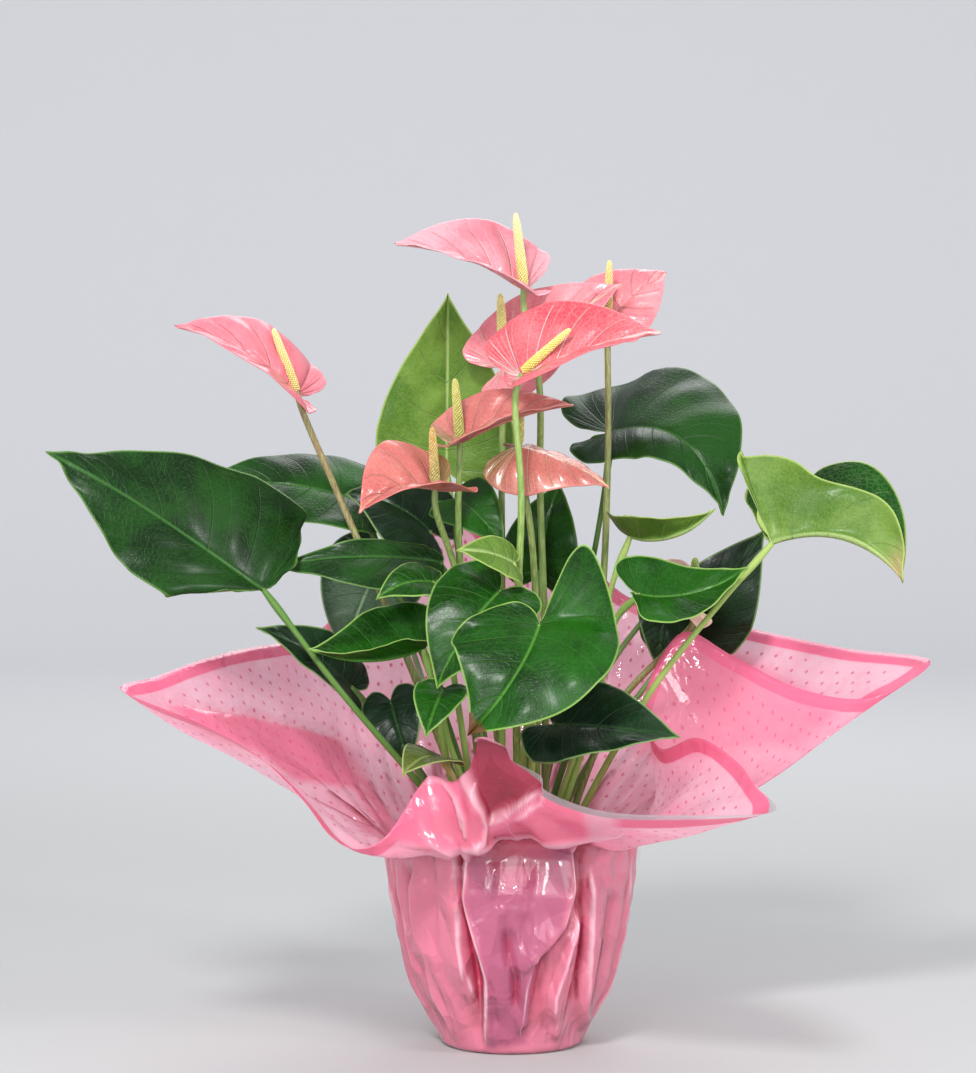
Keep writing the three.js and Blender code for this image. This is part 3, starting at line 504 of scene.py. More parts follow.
SURFACE_INPUTS = {
    "coat": "Coat Weight", "coat_roughness": "Coat Roughness", "shine": "Specular IOR Level",
    "alpha": "Alpha", "soft": "Subsurface Weight", "soft_radius": "Subsurface Radius",
    "soft_scale": "Subsurface Scale",
}


# Finishes

def vein_effect():
    """Main veins on the veins map: lines at whole counts of phase, their width in mm."""
    g, given, out = node_group("leaf_veins", "ShaderNodeTree", {
        "Phase": 0.0, "Gauge": 1.0, "Count": 13.0, "Width": 0.5}, "Vein", "Side Vein")
    for index, (times, wide) in enumerate(((1, 1.0), (3, 0.5))):
        count = g.mul(given["Count"], times)
        turn = g.add(g.mul(given["Phase"], count), 0.5)
        off = g.maths("ABSOLUTE", g.sub(g.maths("FRACT", turn), 0.5))
        gap = g.mul(g.maths("DIVIDE", off, count), given["Gauge"])
        g.feed(out[index], g.span(gap, 0.0, g.mul(given["Width"], wide), 1.0, 0.0))
    return g.tree


def net_effect():
    """The fine net of smallest veins between the main ones."""
    g, given, out = node_group("fine_net", "ShaderNodeTree", {"Vector": "Vector", "Pitch": 300.0}, "Net")
    wobble = g.node("ShaderNodeTexNoise", {"Vector": given["Vector"], "Scale": 140.0}).outputs["Color"]
    small = g.out("ShaderNodeVectorMath", {0: wobble, 3: 0.0012}, operation="SCALE")
    bent = g.out("ShaderNodeVectorMath", {0: given["Vector"], 1: small}, operation="ADD")
    g.feed(out[0], g.span(g.cells(bent, given["Pitch"]), 0.0, 0.12, 1.0, 0.0))
    return g.tree


def mottle_effect():
    """Slow changes of tone over a surface, with a finer grain on top."""
    g, given, out = node_group("mottle", "ShaderNodeTree", {
        "Vector": "Vector", "Patch": 22.0, "Grain": 400.0}, "Tone")
    patch = g.noise(given["Vector"], given["Patch"], 3.0, 0.55, 0.4)
    grain = g.noise(given["Vector"], given["Grain"], 2.0)
    g.feed(out[0], g.span(g.weigh((patch, 0.8), (grain, 0.2)), 0.36, 0.64))
    return g.tree


VEINS, NET, MOTTLE = vein_effect(), net_effect(), mottle_effect()
DRY_LEAF, POLLEN = (96, 66, 34), (250, 244, 200)


def blade_masks(g, look, faces, count, width):
    """The masks that leaves and spathes share, read from a blade's three maps, and the
    mottled colour that the others lie on."""
    place = g.place()
    across, phase = g.uv("veins")
    gauge, margin = g.uv("gauge")
    rib_gap, ahead = g.uv("span")
    veins = g.group(VEINS, {"Phase": phase, "Gauge": gauge, "Count": float(count), "Width": width})
    inner = g.span(g.maths("ABSOLUTE", across), 0.8, 1.0, 1.0, 0.0)
    masks = {
        "place": place, "across": across, "phase": phase, "ahead": ahead,
        "vein": g.mul(veins["Vein"], inner), "side": g.mul(veins["Side Vein"], inner),
        "rib": g.span(rib_gap, 0.3, 1.6, 1.0, 0.0), "margin": g.span(margin, 0.2, 1.5, 1.0, 0.0),
        "net": g.group(NET, {"Vector": place, "Pitch": 330.0})["Net"],
        "tone": g.mottle(place, 24.0, 500.0),
    }
    return masks, g.colour(masks["tone"], *(look[face] for face in faces))


def leaf_upper(name, look, count):
    """The glossy upper face of a leaf: sunk pale veins, a fine net and a thin pale margin."""
    g, close = finish_material(name)
    m, colour = blade_masks(g, look, ("deep", "light"), count, 0.62)
    if "far" in look:
        colour = g.colour(g.span(m["across"], 0.05, 0.25), colour, g.colour(m["tone"], *look["far"]))
    colour = g.layers(colour, *((m[mask], share, look["vein"]) for mask, share in (
        ("net", 0.08), ("side", 0.06), ("vein", 0.3), ("rib", 0.75))))
    if "blush" in look:
        near = g.add(g.mul(m["tone"], 0.5), 0.3)
        colour = g.layers(colour, (g.span(m["ahead"], 0.74, 1.0), near, look["blush"]))
    colour = g.layers(colour, (m["margin"], 0.85, look["margin"]))
    if "dry_from" in look:
        ragged = g.add(m["ahead"], g.mul(g.noise(m["place"], 160.0, 3.0), 0.12))
        colour = g.colour(g.span(ragged, look["dry_from"], look["dry_from"] + 0.03), colour, DRY_LEAF)
    dent = g.weigh((m["vein"], -0.8), (m["net"], -0.12), (m["side"], -0.25))
    return close(colour, g.even(m["tone"], 0.28, 0.42), g.bump(dent, 0.0006, 0.9), look["glow"],
                 g.colour(0.5, colour, look["light"]), coat=0.1, coat_roughness=0.2, shine=0.16)


def leaf_under(name, look, count):
    """The duller under face: paler, with veins that stand out."""
    g, close = finish_material(name)
    m, colour = blade_masks(g, look, ("under", "under_light"), count, 0.8)
    colour = g.layers(colour, *((m[mask], share, look["vein"]) for mask, share in (
        ("net", 0.3), ("vein", 0.7), ("rib", 0.85))))
    if "stain" in look:
        patch = g.span(g.noise(m["place"], 26.0, 3.0), 0.38, 0.6, 0.0, 0.75)
        colour = g.colour(patch, colour, look["stain"])
    raised = g.weigh((m["vein"], 0.8), (m["net"], 0.2))
    return close(colour, g.even(m["tone"], 0.42, 0.56), g.bump(raised, 0.0006, 0.9), look["glow"])


def spathe_upper(name, look, count):
    """The lacquered face of a spathe, its veins pale by the stalk and blending out ahead."""
    g, close = finish_material(name)
    m, colour = blade_masks(g, look, ("deep", "light"), count, 0.75)
    near = g.span(m["ahead"], -0.1, 0.75, 1.0, 0.35)
    if "lobe" in look:
        tint, side, share = look["lobe"]
        on_side = g.span(g.mul(m["across"], side), -0.15, 0.35) if side else 1.0
        reach = g.add(m["phase"], g.mul(m["tone"], 0.12))
        colour = g.layers(colour, (g.span(reach, share * 0.55, share + 0.12, 0.9, 0.0), on_side, tint))
    veined, vein = look["veined"], look["vein"]
    colour = g.layers(
        colour, (m["side"], g.mul(near, veined * 0.35), vein), (g.mul(m["vein"], near), veined, vein),
        (m["rib"], min(veined, 0.7), vein), (m["net"], 0.1, vein), (m["margin"], 0.45, look["light"]))
    dent = g.weigh((m["vein"], -0.9), (m["side"], -0.3), (m["tone"], 0.35))
    return close(colour, g.even(m["tone"], 0.28, 0.42), g.bump(dent, 0.0007, 0.9), 0.14,
                 coat=0.35, coat_roughness=0.14, shine=0.4)


def spathe_under(name, look, count):
    g, close = finish_material(name)
    m, colour = blade_masks(g, look, ("under", "under_light"), count, 0.8)
    colour = g.layers(colour, (m["vein"], 0.4, look["vein"]), (m["net"], 0.15, look["vein"]))
    return close(colour, g.even(m["tone"], 0.36, 0.5), g.bump(g.mul(m["vein"], 0.8), 0.0006, 0.8), 0.12,
                 coat=0.2, coat_roughness=0.2)


def stalk_finish(name, look, streak, mapped):
    """Waxy skin that turns from the foot's colour to the head's, with fine streaks along it."""
    g, close = finish_material(name)
    along = g.uv("veins")[1] if mapped else g.attribute("along")
    streaks = g.span(g.noise(g.flattened(0.12), 900.0, 3.0), 0.4, 0.62)
    own = g.mottle(g.place(), 60.0, 700.0)
    turned = g.span(g.add(along, g.mul(own, 0.25)), 0.3, 1.1)
    colour = g.layers(g.colour(turned, look["foot"], look["head"]), (streaks, 0.3, streak))
    return close(colour, g.even(own, 0.34, 0.5), g.bump(streaks, 0.0002, 0.6),
                 soft=0.1, soft_radius=(0.6, 1.0, 0.3), soft_scale=0.002)


def spadix_finish(name, look):
    """Packed florets: each a little different, darker where they meet."""
    g, close = finish_material(name)
    along, own, proud = map(g.attribute, ("along", "own_tone", "proud"))
    turned = g.span(g.add(along, g.mul(own, 0.3)), 0.2, 1.1)
    colour = g.layers(g.colour(turned, look["florets"], look["florets_top"]), (own, 0.25, POLLEN))
    colour = g.colour(g.span(proud, 0.0, 0.7, 0.7, 0.0), colour, look["gaps"])
    return close(colour, g.even(own, 0.45, 0.62), g.bump(g.noise(g.place(), 2500.0), 0.0001, 0.5),
                 soft=0.15, soft_radius=(1.0, 0.8, 0.3), soft_scale=0.002)


# Blades

# The crown's top, and how far stalks run straight up from it and stems under a spathe, in mm.
SEAT_Z = 108.3
STEM_STRAIGHT = 10
BLADE_STEPS = 84
RIB_SHARES = np.array([0, 0.02, 0.05, 0.1, 0.18, 0.28, 0.4, 0.52, 0.64, 0.76, 0.86, 0.94, 0.98, 1])
# How deep and wide the groove over the midrib is, how wide the ridge under it is, all in mm,
# and how thick the margin is as a share of the blade.
GROOVE_DEPTH, GROOVE_WIDTH, RIDGE_WIDTH = 0.45, 1.1, 1.3
MARGIN_SHARE = 0.45
# The length in mm of a blade whose flutes and swings are as high as the numbers say.
USUAL_LENGTH = 130


def blade_surface(blade, outline, half, t, s):
    """Points of half a blade (0 left, 1 right), the share of its length and mm from the midrib."""
    side = 1 - 2 * half
    base, tip = np.array(blade["base"], float), np.array(blade["tip"], float)
    length = np.linalg.norm(tip - base)
    ahead = (tip - base) / length
    up = np.array(blade["face"], float)
    up = unit(up - up @ ahead * ahead)
    lobe = blade["lobe"][half]
    fold, curl = np.radians(blade[("left", "right")[half]])
    edge_along, edge_across = np.moveaxis(spline_at(outline, t), -1, 0)
    rib = np.maximum((t - FAN_SHARE) / (1 - FAN_SHARE), 0) ** VEIN_SWEEP * length
    width = np.maximum(edge_across, 0)
    plain = edge_along * np.where(edge_along < 0, lobe, length)
    edge = plain + blade["sweep"][half] * width * (length - plain)
    along = rib + (edge - rib) * s
    share = width * s
    reach = share * blade["width"][half]
    angle = fold + curl * share / 2
    q = along / length
    bow = up * blade["arch"] + np.cross(up, ahead) * blade["sway"]
    bend = np.where(q > 0, 4 * q * (1 - q), 4 * q)[..., None]
    lean = (np.where(q > 0, 4 * (1 - 2 * q), 4) / length)[..., None]
    tangent = unit(ahead + bow * lean)
    across = unit(np.cross(up, tangent))
    height, count, phase = blade["wave"]
    ripple = height * share ** 2 * np.sin(2 * np.pi * count * t + phase + side)
    rise = reach * np.sin(angle) + ripple + blade["lift"][half] * (np.minimum(along, 0) / lobe) ** 2
    point = base + ahead * along[..., None] + bow * bend
    point = point + across * (side * reach * np.cos(angle))[..., None]
    return point + np.cross(tangent, across) * rise[..., None], q, reach


def blade_faces(flat, rows, cols):
    """Faces of both halves, and for each corner the first and last grid spot that it joins."""
    faces, corners = [], []
    for half in (0, 1):
        for row in range(rows):
            for col in range(cols - 1):
                spot = half * (rows + 1) * cols + row * cols + col
                joined = []
                for entry in ([spot], [spot + cols], [spot + cols + 1], [spot + 1]):
                    if joined and flat[joined[-1][0]] == flat[entry[0]]:
                        joined[-1] = joined[-1] + entry
                    else:
                        joined.append(entry)
                if len(joined) > 1 and flat[joined[0][0]] == flat[joined[-1][0]]:
                    joined[0] = joined[0] + joined.pop()
                if len(joined) > 2:
                    joined = joined if half == 0 else joined[::-1]
                    faces.append([int(flat[e[0]]) for e in joined])
                    corners.append([(e[0], e[-1]) for e in joined])
    return faces, corners


def blade_rows(blade, outline, veins, seed, thickness, rib, bulge, flutter):
    """A closed thin blade: points, faces, the three maps of its corners, and 0 or 1 for its
    upper or under skin. Thickness, rib and flutter are in mm; bulge is a share of the gauge."""
    rows, cols = BLADE_STEPS, len(RIB_SHARES)
    t, s = np.meshgrid(np.linspace(0, 1, rows + 1), RIB_SHARES, indexing="ij")
    fan = t[:, 0] <= FAN_SHARE
    ribs = np.where(~fan)[0][:-1]
    ids = np.zeros((2, rows + 1, cols), int)
    ids[:, ribs, 0] = 2 + np.arange(len(ribs))
    inner = (rows - 1) * (cols - 1)
    for half in (0, 1):
        first = 2 + len(ribs) + half * inner
        ids[half, 1:rows, 1:] = first + np.arange(inner).reshape(rows - 1, cols - 1)
    ids[:, 0], ids[:, rows] = 0, 1
    count = 2 + len(ribs) + 2 * inner
    points, heights = np.zeros((count, 3)), np.zeros(count)
    maps = {"veins": [], "gauge": [], "span": []}
    phase = t + 0.07 * s * (1 - s) * smooth(t, 0.15, 0.5)
    length = np.linalg.norm(np.subtract(blade["tip"], blade["base"]))
    size = length / USUAL_LENGTH
    turns = np.random.default_rng(seed).uniform(0, 2 * np.pi, 6)
    middle = np.zeros((2, rows + 1, cols))
    for half in (0, 1):
        grid, q, reach = blade_surface(blade, outline, half, t, s)
        by_t, by_s = np.gradient(grid, axis=0) * rows, np.gradient(grid, RIB_SHARES, axis=1)
        area = np.linalg.norm(np.cross(by_t, by_s), axis=-1)
        gauge = area / np.maximum(np.linalg.norm(by_s, axis=-1), 1e-6)
        gauge[:, 0] = np.where(fan, 0, gauge[:, 0])
        to_margin = (area / np.maximum(np.linalg.norm(by_t, axis=-1), 1e-6))[:, -1:] * (1 - s)
        side = 1 - 2 * half
        from_rib = np.hypot(reach, np.minimum(q, 0) * length)
        swell = np.minimum(bulge * gauge / veins, 1.5) * np.sin(np.pi * veins * phase) ** 2
        swell *= 1 + 0.5 * np.sin(7 * t + turns[4]) * np.sin(9 * s + turns[5])
        swell *= smooth(s, 0.02, 0.18) * (1 - 0.85 * smooth(s, 0.8, 1))
        swing = size * np.sin(5.1 * q + turns[0]) * np.sin(3.3 * side * s + turns[1])
        flutes = np.sin(2 * np.pi * 4.5 * t + turns[2 + half])
        flutes += 0.5 * np.sin(2 * np.pi * 9.3 * t + turns[4 + half])
        edge = flutter * size * flutes * smooth(s, 0.72, 1) * between(t, 0, 0.12, 0.9, 1)
        groove = GROOVE_DEPTH * np.exp(-(from_rib / GROOVE_WIDTH) ** 2)
        away = np.linalg.norm(grid - np.array(blade["base"], float), axis=-1)
        points[ids[half]] = grid
        heights[ids[half]] = (swell + swing + edge - groove) * smooth(away, 0, 10)
        middle[half] = np.exp(-(from_rib / RIDGE_WIDTH) ** 2) * (1 - smooth(q, 0.55, 1)) * (q > -0.02)
        for label, pair in zip(maps, ((side * s, phase), (gauge, to_margin), (from_rib, q))):
            maps[label].append(np.stack(pair, -1))
    faces, corners = blade_faces(ids.ravel(), rows, cols)
    points = points + face_normals(points, faces) * heights[:, None]
    normals = face_normals(points, faces)
    thin = np.full(count, thickness / 2)
    thin[ids[:, :, -1]] *= MARGIN_SHARE
    ridge = np.zeros(count)
    ridge[ids] = middle
    upper = points + normals * thin[:, None]
    under = points - normals * (thin + rib * ridge)[:, None]
    rim = [(int(ids[1, r, -1]), (rows + 1) * cols + r * cols + cols - 1) for r in range(rows)]
    rim += [(int(ids[0, r, -1]), r * cols + cols - 1) for r in range(rows, 0, -1)]
    slots = [0] * len(faces) + [1] * len(faces) + [0] * len(rim)
    faces = faces + [[v + count for v in face[::-1]] for face in faces]
    corners = corners + [face[::-1] for face in corners]
    for (a, at_a), (b, at_b) in zip(rim, rim[1:] + rim[:1]):
        faces.append([a, a + count, b + count, b])
        corners.append([(at_a, at_a), (at_a, at_a), (at_b, at_b), (at_b, at_b)])
    pairs = np.array([pair for face in corners for pair in face])
    for label, halves in maps.items():
        row = np.stack(halves).reshape(-1, 2)
        maps[label] = (row[pairs[:, 0]] + row[pairs[:, 1]]) / 2
    return np.vstack([upper, under]), faces, maps, slots


def face_normals(points, faces):
    """Unit normals of the points, from the faces round them."""
    total = np.zeros_like(points)
    for size in (3, 4):
        rows = np.array([face for face in faces if len(face) == size])
        if len(rows):
            a, b, c, d = (points[rows[:, k]] for k in (0, 1, 2, -1))
            normal = np.cross(c - a, d - b) if size == 4 else np.cross(b - a, c - a)
            for k in range(size):
                np.add.at(total, rows[:, k], normal)
    return unit(total)


# Stalks

PETIOLE_STREAK, STEM_STREAK = (176, 196, 120), (182, 198, 128)


def stalk_tree():
    """A waxy stalk along a curve, thinning upward, with a swollen knee just under its head."""
    g, given, output = geometry_tree("stalk_sweep", Step=0.003, Sides=12, Foot_Radius=0.0026,
                                     Head_Radius=0.0018, Knee=0.0006)
    line = g.out("GeometryNodeResampleCurve", {"Curve": given["Geometry"], "Length": given["Step"]},
                 mode="LENGTH")
    along = g.node("GeometryNodeSplineParameter").outputs["Factor"]
    plain = g.blend(g.maths("POWER", along, 0.7), given["Foot Radius"], given["Head Radius"])
    knee = g.mul(g.span(along, 0.86, 0.93), g.span(along, 0.95, 1.0, 1.0, 0.1))
    radius = g.add(plain, g.mul(knee, given["Knee"]))
    return close_tree(g, given, output, g.tube(g.stored(line, along=along), given["Sides"], radius))


STALK = stalk_tree()


def stalk_mesh(name, root, points, material, **sizes):
    """A stalk from its root in the crown, first straight up and then through the points."""
    curve = bpy.data.curves.new(name, "CURVE")
    curve.dimensions = "3D"
    line = curve.splines.new("POLY")
    points = smooth_route([[*root, SEAT_Z - 1.5], [*root, SEAT_Z + STEM_STRAIGHT], *points], 8) * MM
    line.points.add(len(points) - 1)
    line.points.foreach_set("co", np.column_stack([points, np.ones(len(points))]).ravel())
    return grown(STALK, name, curve, material, **sizes)


def add_leaf(leaf, seed):
    """A leaf in one piece: its blade's two faces and its petiole."""
    name = leaf["name"]
    look = LEAF_LOOKS[leaf["tone"]] | LEAF_EXTRAS.get(name, {})
    veins = 9 if np.linalg.norm(np.subtract(leaf["tip"], leaf["base"])) > 90 else 7
    points, faces, maps, slots = blade_rows(leaf, LEAF_OUTLINE, veins, seed, thickness=0.5, rib=1.0,
                                            bulge=0.034, flutter=look["flutter"])
    upper, under = leaf_upper(f"{name}_upper", look, veins), leaf_under(f"{name}_under", look, veins)
    petiole = stalk_finish(f"{name}_petiole", look, PETIOLE_STREAK, True)
    tube = stalk_mesh(name, leaf["root"], [*leaf["via"], leaf["base"]], petiole,
                      Foot_Radius=0.0025, Head_Radius=0.0016, Knee=0.0007)
    tube_points, tube_faces = mesh_rows(tube)
    along = np.empty(len(tube_points), np.float32)
    tube.attributes["along"].data.foreach_get("value", along)
    bpy.data.meshes.remove(tube)
    own = np.array([[0.0, along[v]] for face in tube_faces for v in face])
    for label, row in maps.items():
        maps[label] = np.vstack([row, own if label == "veins" else own * 0])
    faces = faces + [[v + len(points) for v in face] for face in tube_faces]
    mesh = make_mesh(f"{name}_leaf", np.vstack([points, tube_points]), faces, maps,
                     slots + [2] * len(tube_faces))
    add_piece(f"{name}_leaf", mesh, (upper, under, petiole), "leaf_" + leaf["tone"], name)


# Leaf and flower looks

# Colours as a picture shows them, and the share of light that comes through.
LEAF_LOOKS = dict(zip(("deep", "mid", "dark", "pale", "bright", "grey", "olive"), table(
    "deep light vein margin under under_light glow", (
    ((9, 38, 7), (22, 66, 12), (58, 104, 44), (92, 130, 60), (77, 107, 57), (109, 138, 77)),
    ((13, 48, 8), (28, 82, 14), (66, 112, 48), (96, 134, 62), (77, 112, 57), (109, 144, 77)),
    ((9, 28, 14), (24, 50, 26), (46, 76, 42), (116, 146, 84), (46, 72, 42), (70, 96, 57), 0.06),
    ((79, 119, 36), (120, 153, 64), (184, 208, 132), (176, 200, 110), (103, 140, 57),
     (140, 173, 85), 0.3),
    ((9, 46, 5), (26, 86, 10), (80, 138, 50), (150, 188, 96), (77, 123, 50), (110, 151, 72), 0.16),
    # The grey look's grey cast is a painted reflection of the sky on a glossy face.
    ((41, 67, 45), (67, 93, 67), (132, 158, 124), (150, 174, 130), (85, 107, 75), (109, 131, 96)),
    ((65, 81, 31), (93, 105, 45), (148, 158, 92), (170, 178, 110), (85, 96, 48), (110, 120, 64)),
), glow=0.12, flutter=0.9, foot=(112, 150, 62), head=(140, 165, 80))))
# What single leaves have besides: a dry tip, a stained under face, a blush by the tip, and
# the left half's own colours.
LEAF_EXTRAS = {
    "leaf_front_large": {"dry_from": 0.93},
    "leaf_left_large": {"flutter": 1.8, "stain": (158, 118, 96), "foot": (118, 150, 66)},
    "leaf_right_curled": {"flutter": 3.0, "blush": (196, 150, 116), "head": (150, 120, 80),
                          "far": ((10, 50, 10), (26, 88, 20))},
    "leaf_left_dark": {"stain": (120, 92, 66)},
    "leaf_right_top": {"flutter": 2.2, "head": (150, 128, 80)},
    "leaf_left_bright": {"stain": (140, 120, 80)},
}
# The last entry is the green of a spathe's lobes, its side (-1 right, 1 left, 0 both) and its reach.
FLOWER_LOOKS = table("deep light vein veined under under_light foot head florets florets_top gaps lobe", (
    ((214, 118, 132), (232, 156, 166), (243, 198, 200), 0.5, (192, 105, 113), (214, 137, 141),
     (101, 134, 52), (134, 156, 87), (212, 201, 122), (226, 220, 165), (196, 176, 92)),
    ((216, 102, 119), (233, 143, 152), (245, 217, 200), 0.85, (194, 109, 109), (216, 141, 135),
     (97, 131, 50), (126, 150, 77), (201, 192, 105), (222, 212, 141), (180, 160, 78)),
    ((219, 110, 121), (233, 143, 149), (240, 180, 173), 0.3, (184, 102, 96), (207, 128, 118),
     (102, 133, 55), (126, 119, 71), (209, 188, 109), (224, 211, 141), (186, 154, 80)),
    ((202, 68, 82), (220, 106, 114), (245, 223, 219), 0.95, (192, 94, 103), (214, 126, 132), (94, 131, 47),
     (123, 151, 71), (218, 201, 98), (229, 218, 132), (200, 172, 70)),
    ((184, 90, 88), (204, 124, 114), (238, 188, 169), 0.45, (162, 105, 86), (188, 130, 105), (92, 126, 47),
     (116, 143, 67), (165, 167, 79), (201, 192, 103), (140, 136, 60), ((122, 118, 58), 0.0, 0.4)),
    ((180, 80, 78), (200, 112, 104), (236, 182, 157), 0.5, (156, 98, 77), (182, 122, 96), (87, 123, 45),
     (111, 133, 64), (154, 141, 66), (194, 152, 79), (128, 112, 52), ((112, 108, 48), -1.0, 0.5)),
    ((172, 84, 80), (194, 118, 106), (228, 192, 157), 0.6, (150, 96, 77), (177, 120, 94), (89, 124, 45),
     (118, 134, 67), (177, 169, 86), (199, 192, 111), (146, 136, 66), ((112, 92, 50), 0.0, 0.5)),
    ((212, 98, 114), (226, 128, 140), (232, 156, 160), 0.3, (177, 105, 103), (201, 132, 124),
     (101, 131, 54), (131, 108, 74), (209, 194, 117), (224, 212, 150), (186, 164, 88)),
    ((216, 154, 145), (231, 190, 171), (198, 204, 144), 0.75, (184, 150, 117), (203, 175, 137),
     (106, 134, 59), (138, 131, 81), (115, 150, 62), (143, 173, 83), (86, 122, 44)),
))


# Flowers

# How far a stem goes on past its spathe's base, in mm, and the golden angle in radians.
STEM_PAST_SPATHE = 1.6
FLORET_TURN = 2.39996
# A spadix's girth against the share of its length; the first two are its ends.
SPADIX_GIRTH = ((0.0, 0.8), (1.0, 0.0), (0.1, 0.97), (0.22, 1.0), (0.55, 0.88), (0.82, 0.72), (0.95, 0.5))


def spadix_tree():
    """A spadix on the z axis: a blunt rod set with florets that follow one tight spiral."""
    g, given, output = geometry_tree("spadix_florets", Length=0.04, Radius=0.003, Florets=360,
                                     Floret_Radius=0.0006, Seed=4)

    def girth(share):
        curve = g.node("ShaderNodeFloatCurve", {"Value": share})
        line = curve.mapping.curves[0]
        for place, point in zip(SPADIX_GIRTH, line.points):
            point.location = place
        for place in SPADIX_GIRTH[2:]:
            line.points.new(*place)
        curve.mapping.update()
        return curve.outputs[0]

    def spread(x, y, z):
        return g.out("ShaderNodeCombineXYZ", {0: x, 1: y, 2: z})

    axis = g.out("GeometryNodeCurvePrimitiveLine", {"End": spread(0.0, 0.0, given["Length"])})
    line = g.out("GeometryNodeResampleCurve", {"Curve": axis, "Count": 26})
    along = g.node("GeometryNodeSplineParameter").outputs["Factor"]
    core = g.mul(g.mul(girth(along), given["Radius"]), 0.86)
    rod = g.tube(g.stored(line, along=along, own_tone=0.2, proud=0.0), 14, core)
    index = g.out("GeometryNodeInputIndex")
    share = g.maths("DIVIDE", g.add(index, 0.5), given["Florets"])
    angle = g.mul(index, FLORET_TURN)
    out = g.mul(g.mul(girth(share), given["Radius"]), 0.88)
    spot = spread(g.mul(out, g.maths("COSINE", angle)), g.mul(out, g.maths("SINE", angle)),
                  g.mul(share, given["Length"]))
    points = g.out("GeometryNodePoints", {"Count": given["Florets"], "Position": spot})
    random = g.node("FunctionNodeRandomValue", {"Seed": given["Seed"]}, data_type="FLOAT")
    own = next(s for s in random.outputs if s.enabled and s.type == "VALUE")
    points = g.stored(points, along=share, own_tone=own)
    lift = g.length(g.out("GeometryNodeInputPosition"))
    ball = g.stored(g.ball(given["Floret Radius"]), proud=g.maths("DIVIDE", lift, given["Floret Radius"]))
    scale = g.add(0.55, g.mul(girth(share), 0.45))
    florets = g.out("GeometryNodeInstanceOnPoints", {
        "Points": points, "Instance": ball, "Scale": spread(scale, scale, scale)})
    joined = g.node("GeometryNodeJoinGeometry", {0: rod})
    g.feed(joined.inputs[0], florets)
    return close_tree(g, given, output, joined.outputs[0])


SPADIX = spadix_tree()


def add_flower(flower, look, number):
    label = f"flower_{number:02d}"
    base, tip, end, spadix = (np.array(flower[key], float) for key in ("base", "tip", "end", "spadix"))
    end, radius = unit(end), flower["radius"]
    top, below = base + end * STEM_PAST_SPATHE, base - end * STEM_STRAIGHT
    tilt = math.acos(float(np.clip(unit(spadix - top) @ end, -1, 1)))
    foot = top + end * (0.3 + radius * math.sin(tilt))

    waxy = stalk_finish(f"{label}_stem_skin", look, STEM_STREAK, False)
    stem = stalk_mesh(f"{label}_stalk", flower["root"], [*flower["via"], below, top], waxy,
                      Foot_Radius=0.0026, Head_Radius=0.0019, Knee=0.0)
    add_piece(f"{label}_stalk", stem, (waxy,), "stem", f"{label}_stem")

    veins = 9 if np.linalg.norm(tip - base) > 60 else 8
    rows = blade_rows(flower, SPATHE_OUTLINE, veins, 60 + number, thickness=0.7, rib=0.5, bulge=0.1,
                      flutter=0.7)
    upper, under = spathe_upper(f"{label}_face", look, veins), spathe_under(f"{label}_back", look, veins)
    mesh = make_mesh(f"{label}_bract", *rows)
    add_piece(f"{label}_bract", mesh, (upper, under), "spathe_" + flower["tone"], f"{label}_spathe")

    length = float(np.linalg.norm(spadix - foot))
    finish = spadix_finish(f"{label}_florets", look)
    cone = grown(SPADIX, f"{label}_cone", bpy.data.meshes.new(f"{label}_cone"), finish,
                 Length=length * MM, Radius=radius * MM, Seed=number, Florets=int(length * radius * 3.1),
                 Floret_Radius=0.00072)
    turn = Vector((0, 0, 1)).rotation_difference(Vector(spadix - foot))
    cone.transform(Matrix.Translation(Vector(foot * MM)) @ turn.to_matrix().to_4x4())
    add_piece(f"{label}_cone", cone, (finish,), "spadix", f"{label}_spadix")


# Film

FILM_COLUMNS = 460
# How many more columns stand in front, and how much the front panel draws in by the neck.
FRONT_CROWD = 0.9
PINCH = 0.3
# Half the film's thickness, and the height of its middle surface on the floor, in mm.
FILM_HALF = 0.12
FILM_FLOOR = FILM_HALF + 0.03
DISC_ROWS, SIDE_ROWS, FLARE_ROWS = 5, 60, 40
# The film's way over the floor to where its rows grow closer, and its neck as radius and height.
FLAT_FLOOR = 38
NECK = np.array([77.0, 121.0])
# The heights that a pleat's three angles and depths are given for.
PLEAT_LEVELS = (10, 60, 110)
# How far in the folds may reach, by height, and how far out.
DEEPEST = ((0, 12, 30, 60, 92, 103, 125), (-2.5, -4.5, -6.5, -11, -9.5, -7.6, -8.2))
OUTERMOST = 4.2
# How many fine pleats run round the side, in two sets, and how many folds round the flare.
FINE_PLEATS, FINER_PLEATS, FLARE_FOLDS = 47, 78, 33
# How high, in mm, the folds and the billows of the flare rise, and the front loop's bowl and roll.
FOLDS_RISE, BILLOW_RISE, BOWL_DEPTH, ROLL_RISE = 5.6, 2.2, 9.0, 2.2
# The film's two pinks, and what lies over them as a share and a colour: doubled film, the body,
# painted mauve shade, painted valley shade, painted ridge highlights, dots, the border and the clear strip.
FILM_TINTS = ((255, 190, 211), (255, 212, 226))
FILM_LAYERS = (
    (0.85, (250, 132, 168)), (0.85, (232, 114, 144)), (0.75, (180, 84, 124)), (0.72, (176, 48, 76)),
    (0.75, (255, 214, 226)), (0.72, (222, 104, 140)), (0.8, (246, 112, 156)), (1.0, (214, 206, 212)),
)
# Angles round the film, each from where a stretch starts and is full to where it fades and ends:
# the drawn front, its smooth panel, the flare's front, its doubled part and the clear strip.
FRONT_ARC, PANEL_ARC = (196, 206, 334, 344), (246, 254, 296, 304)
FLARE_ARC, DOUBLED_ARC, CLEAR_ARC = (150, 158, 318, 326), (150, 158, 300, 310), (282, 287, 306, 311)
FAR_FROM_EDGE = 99.0
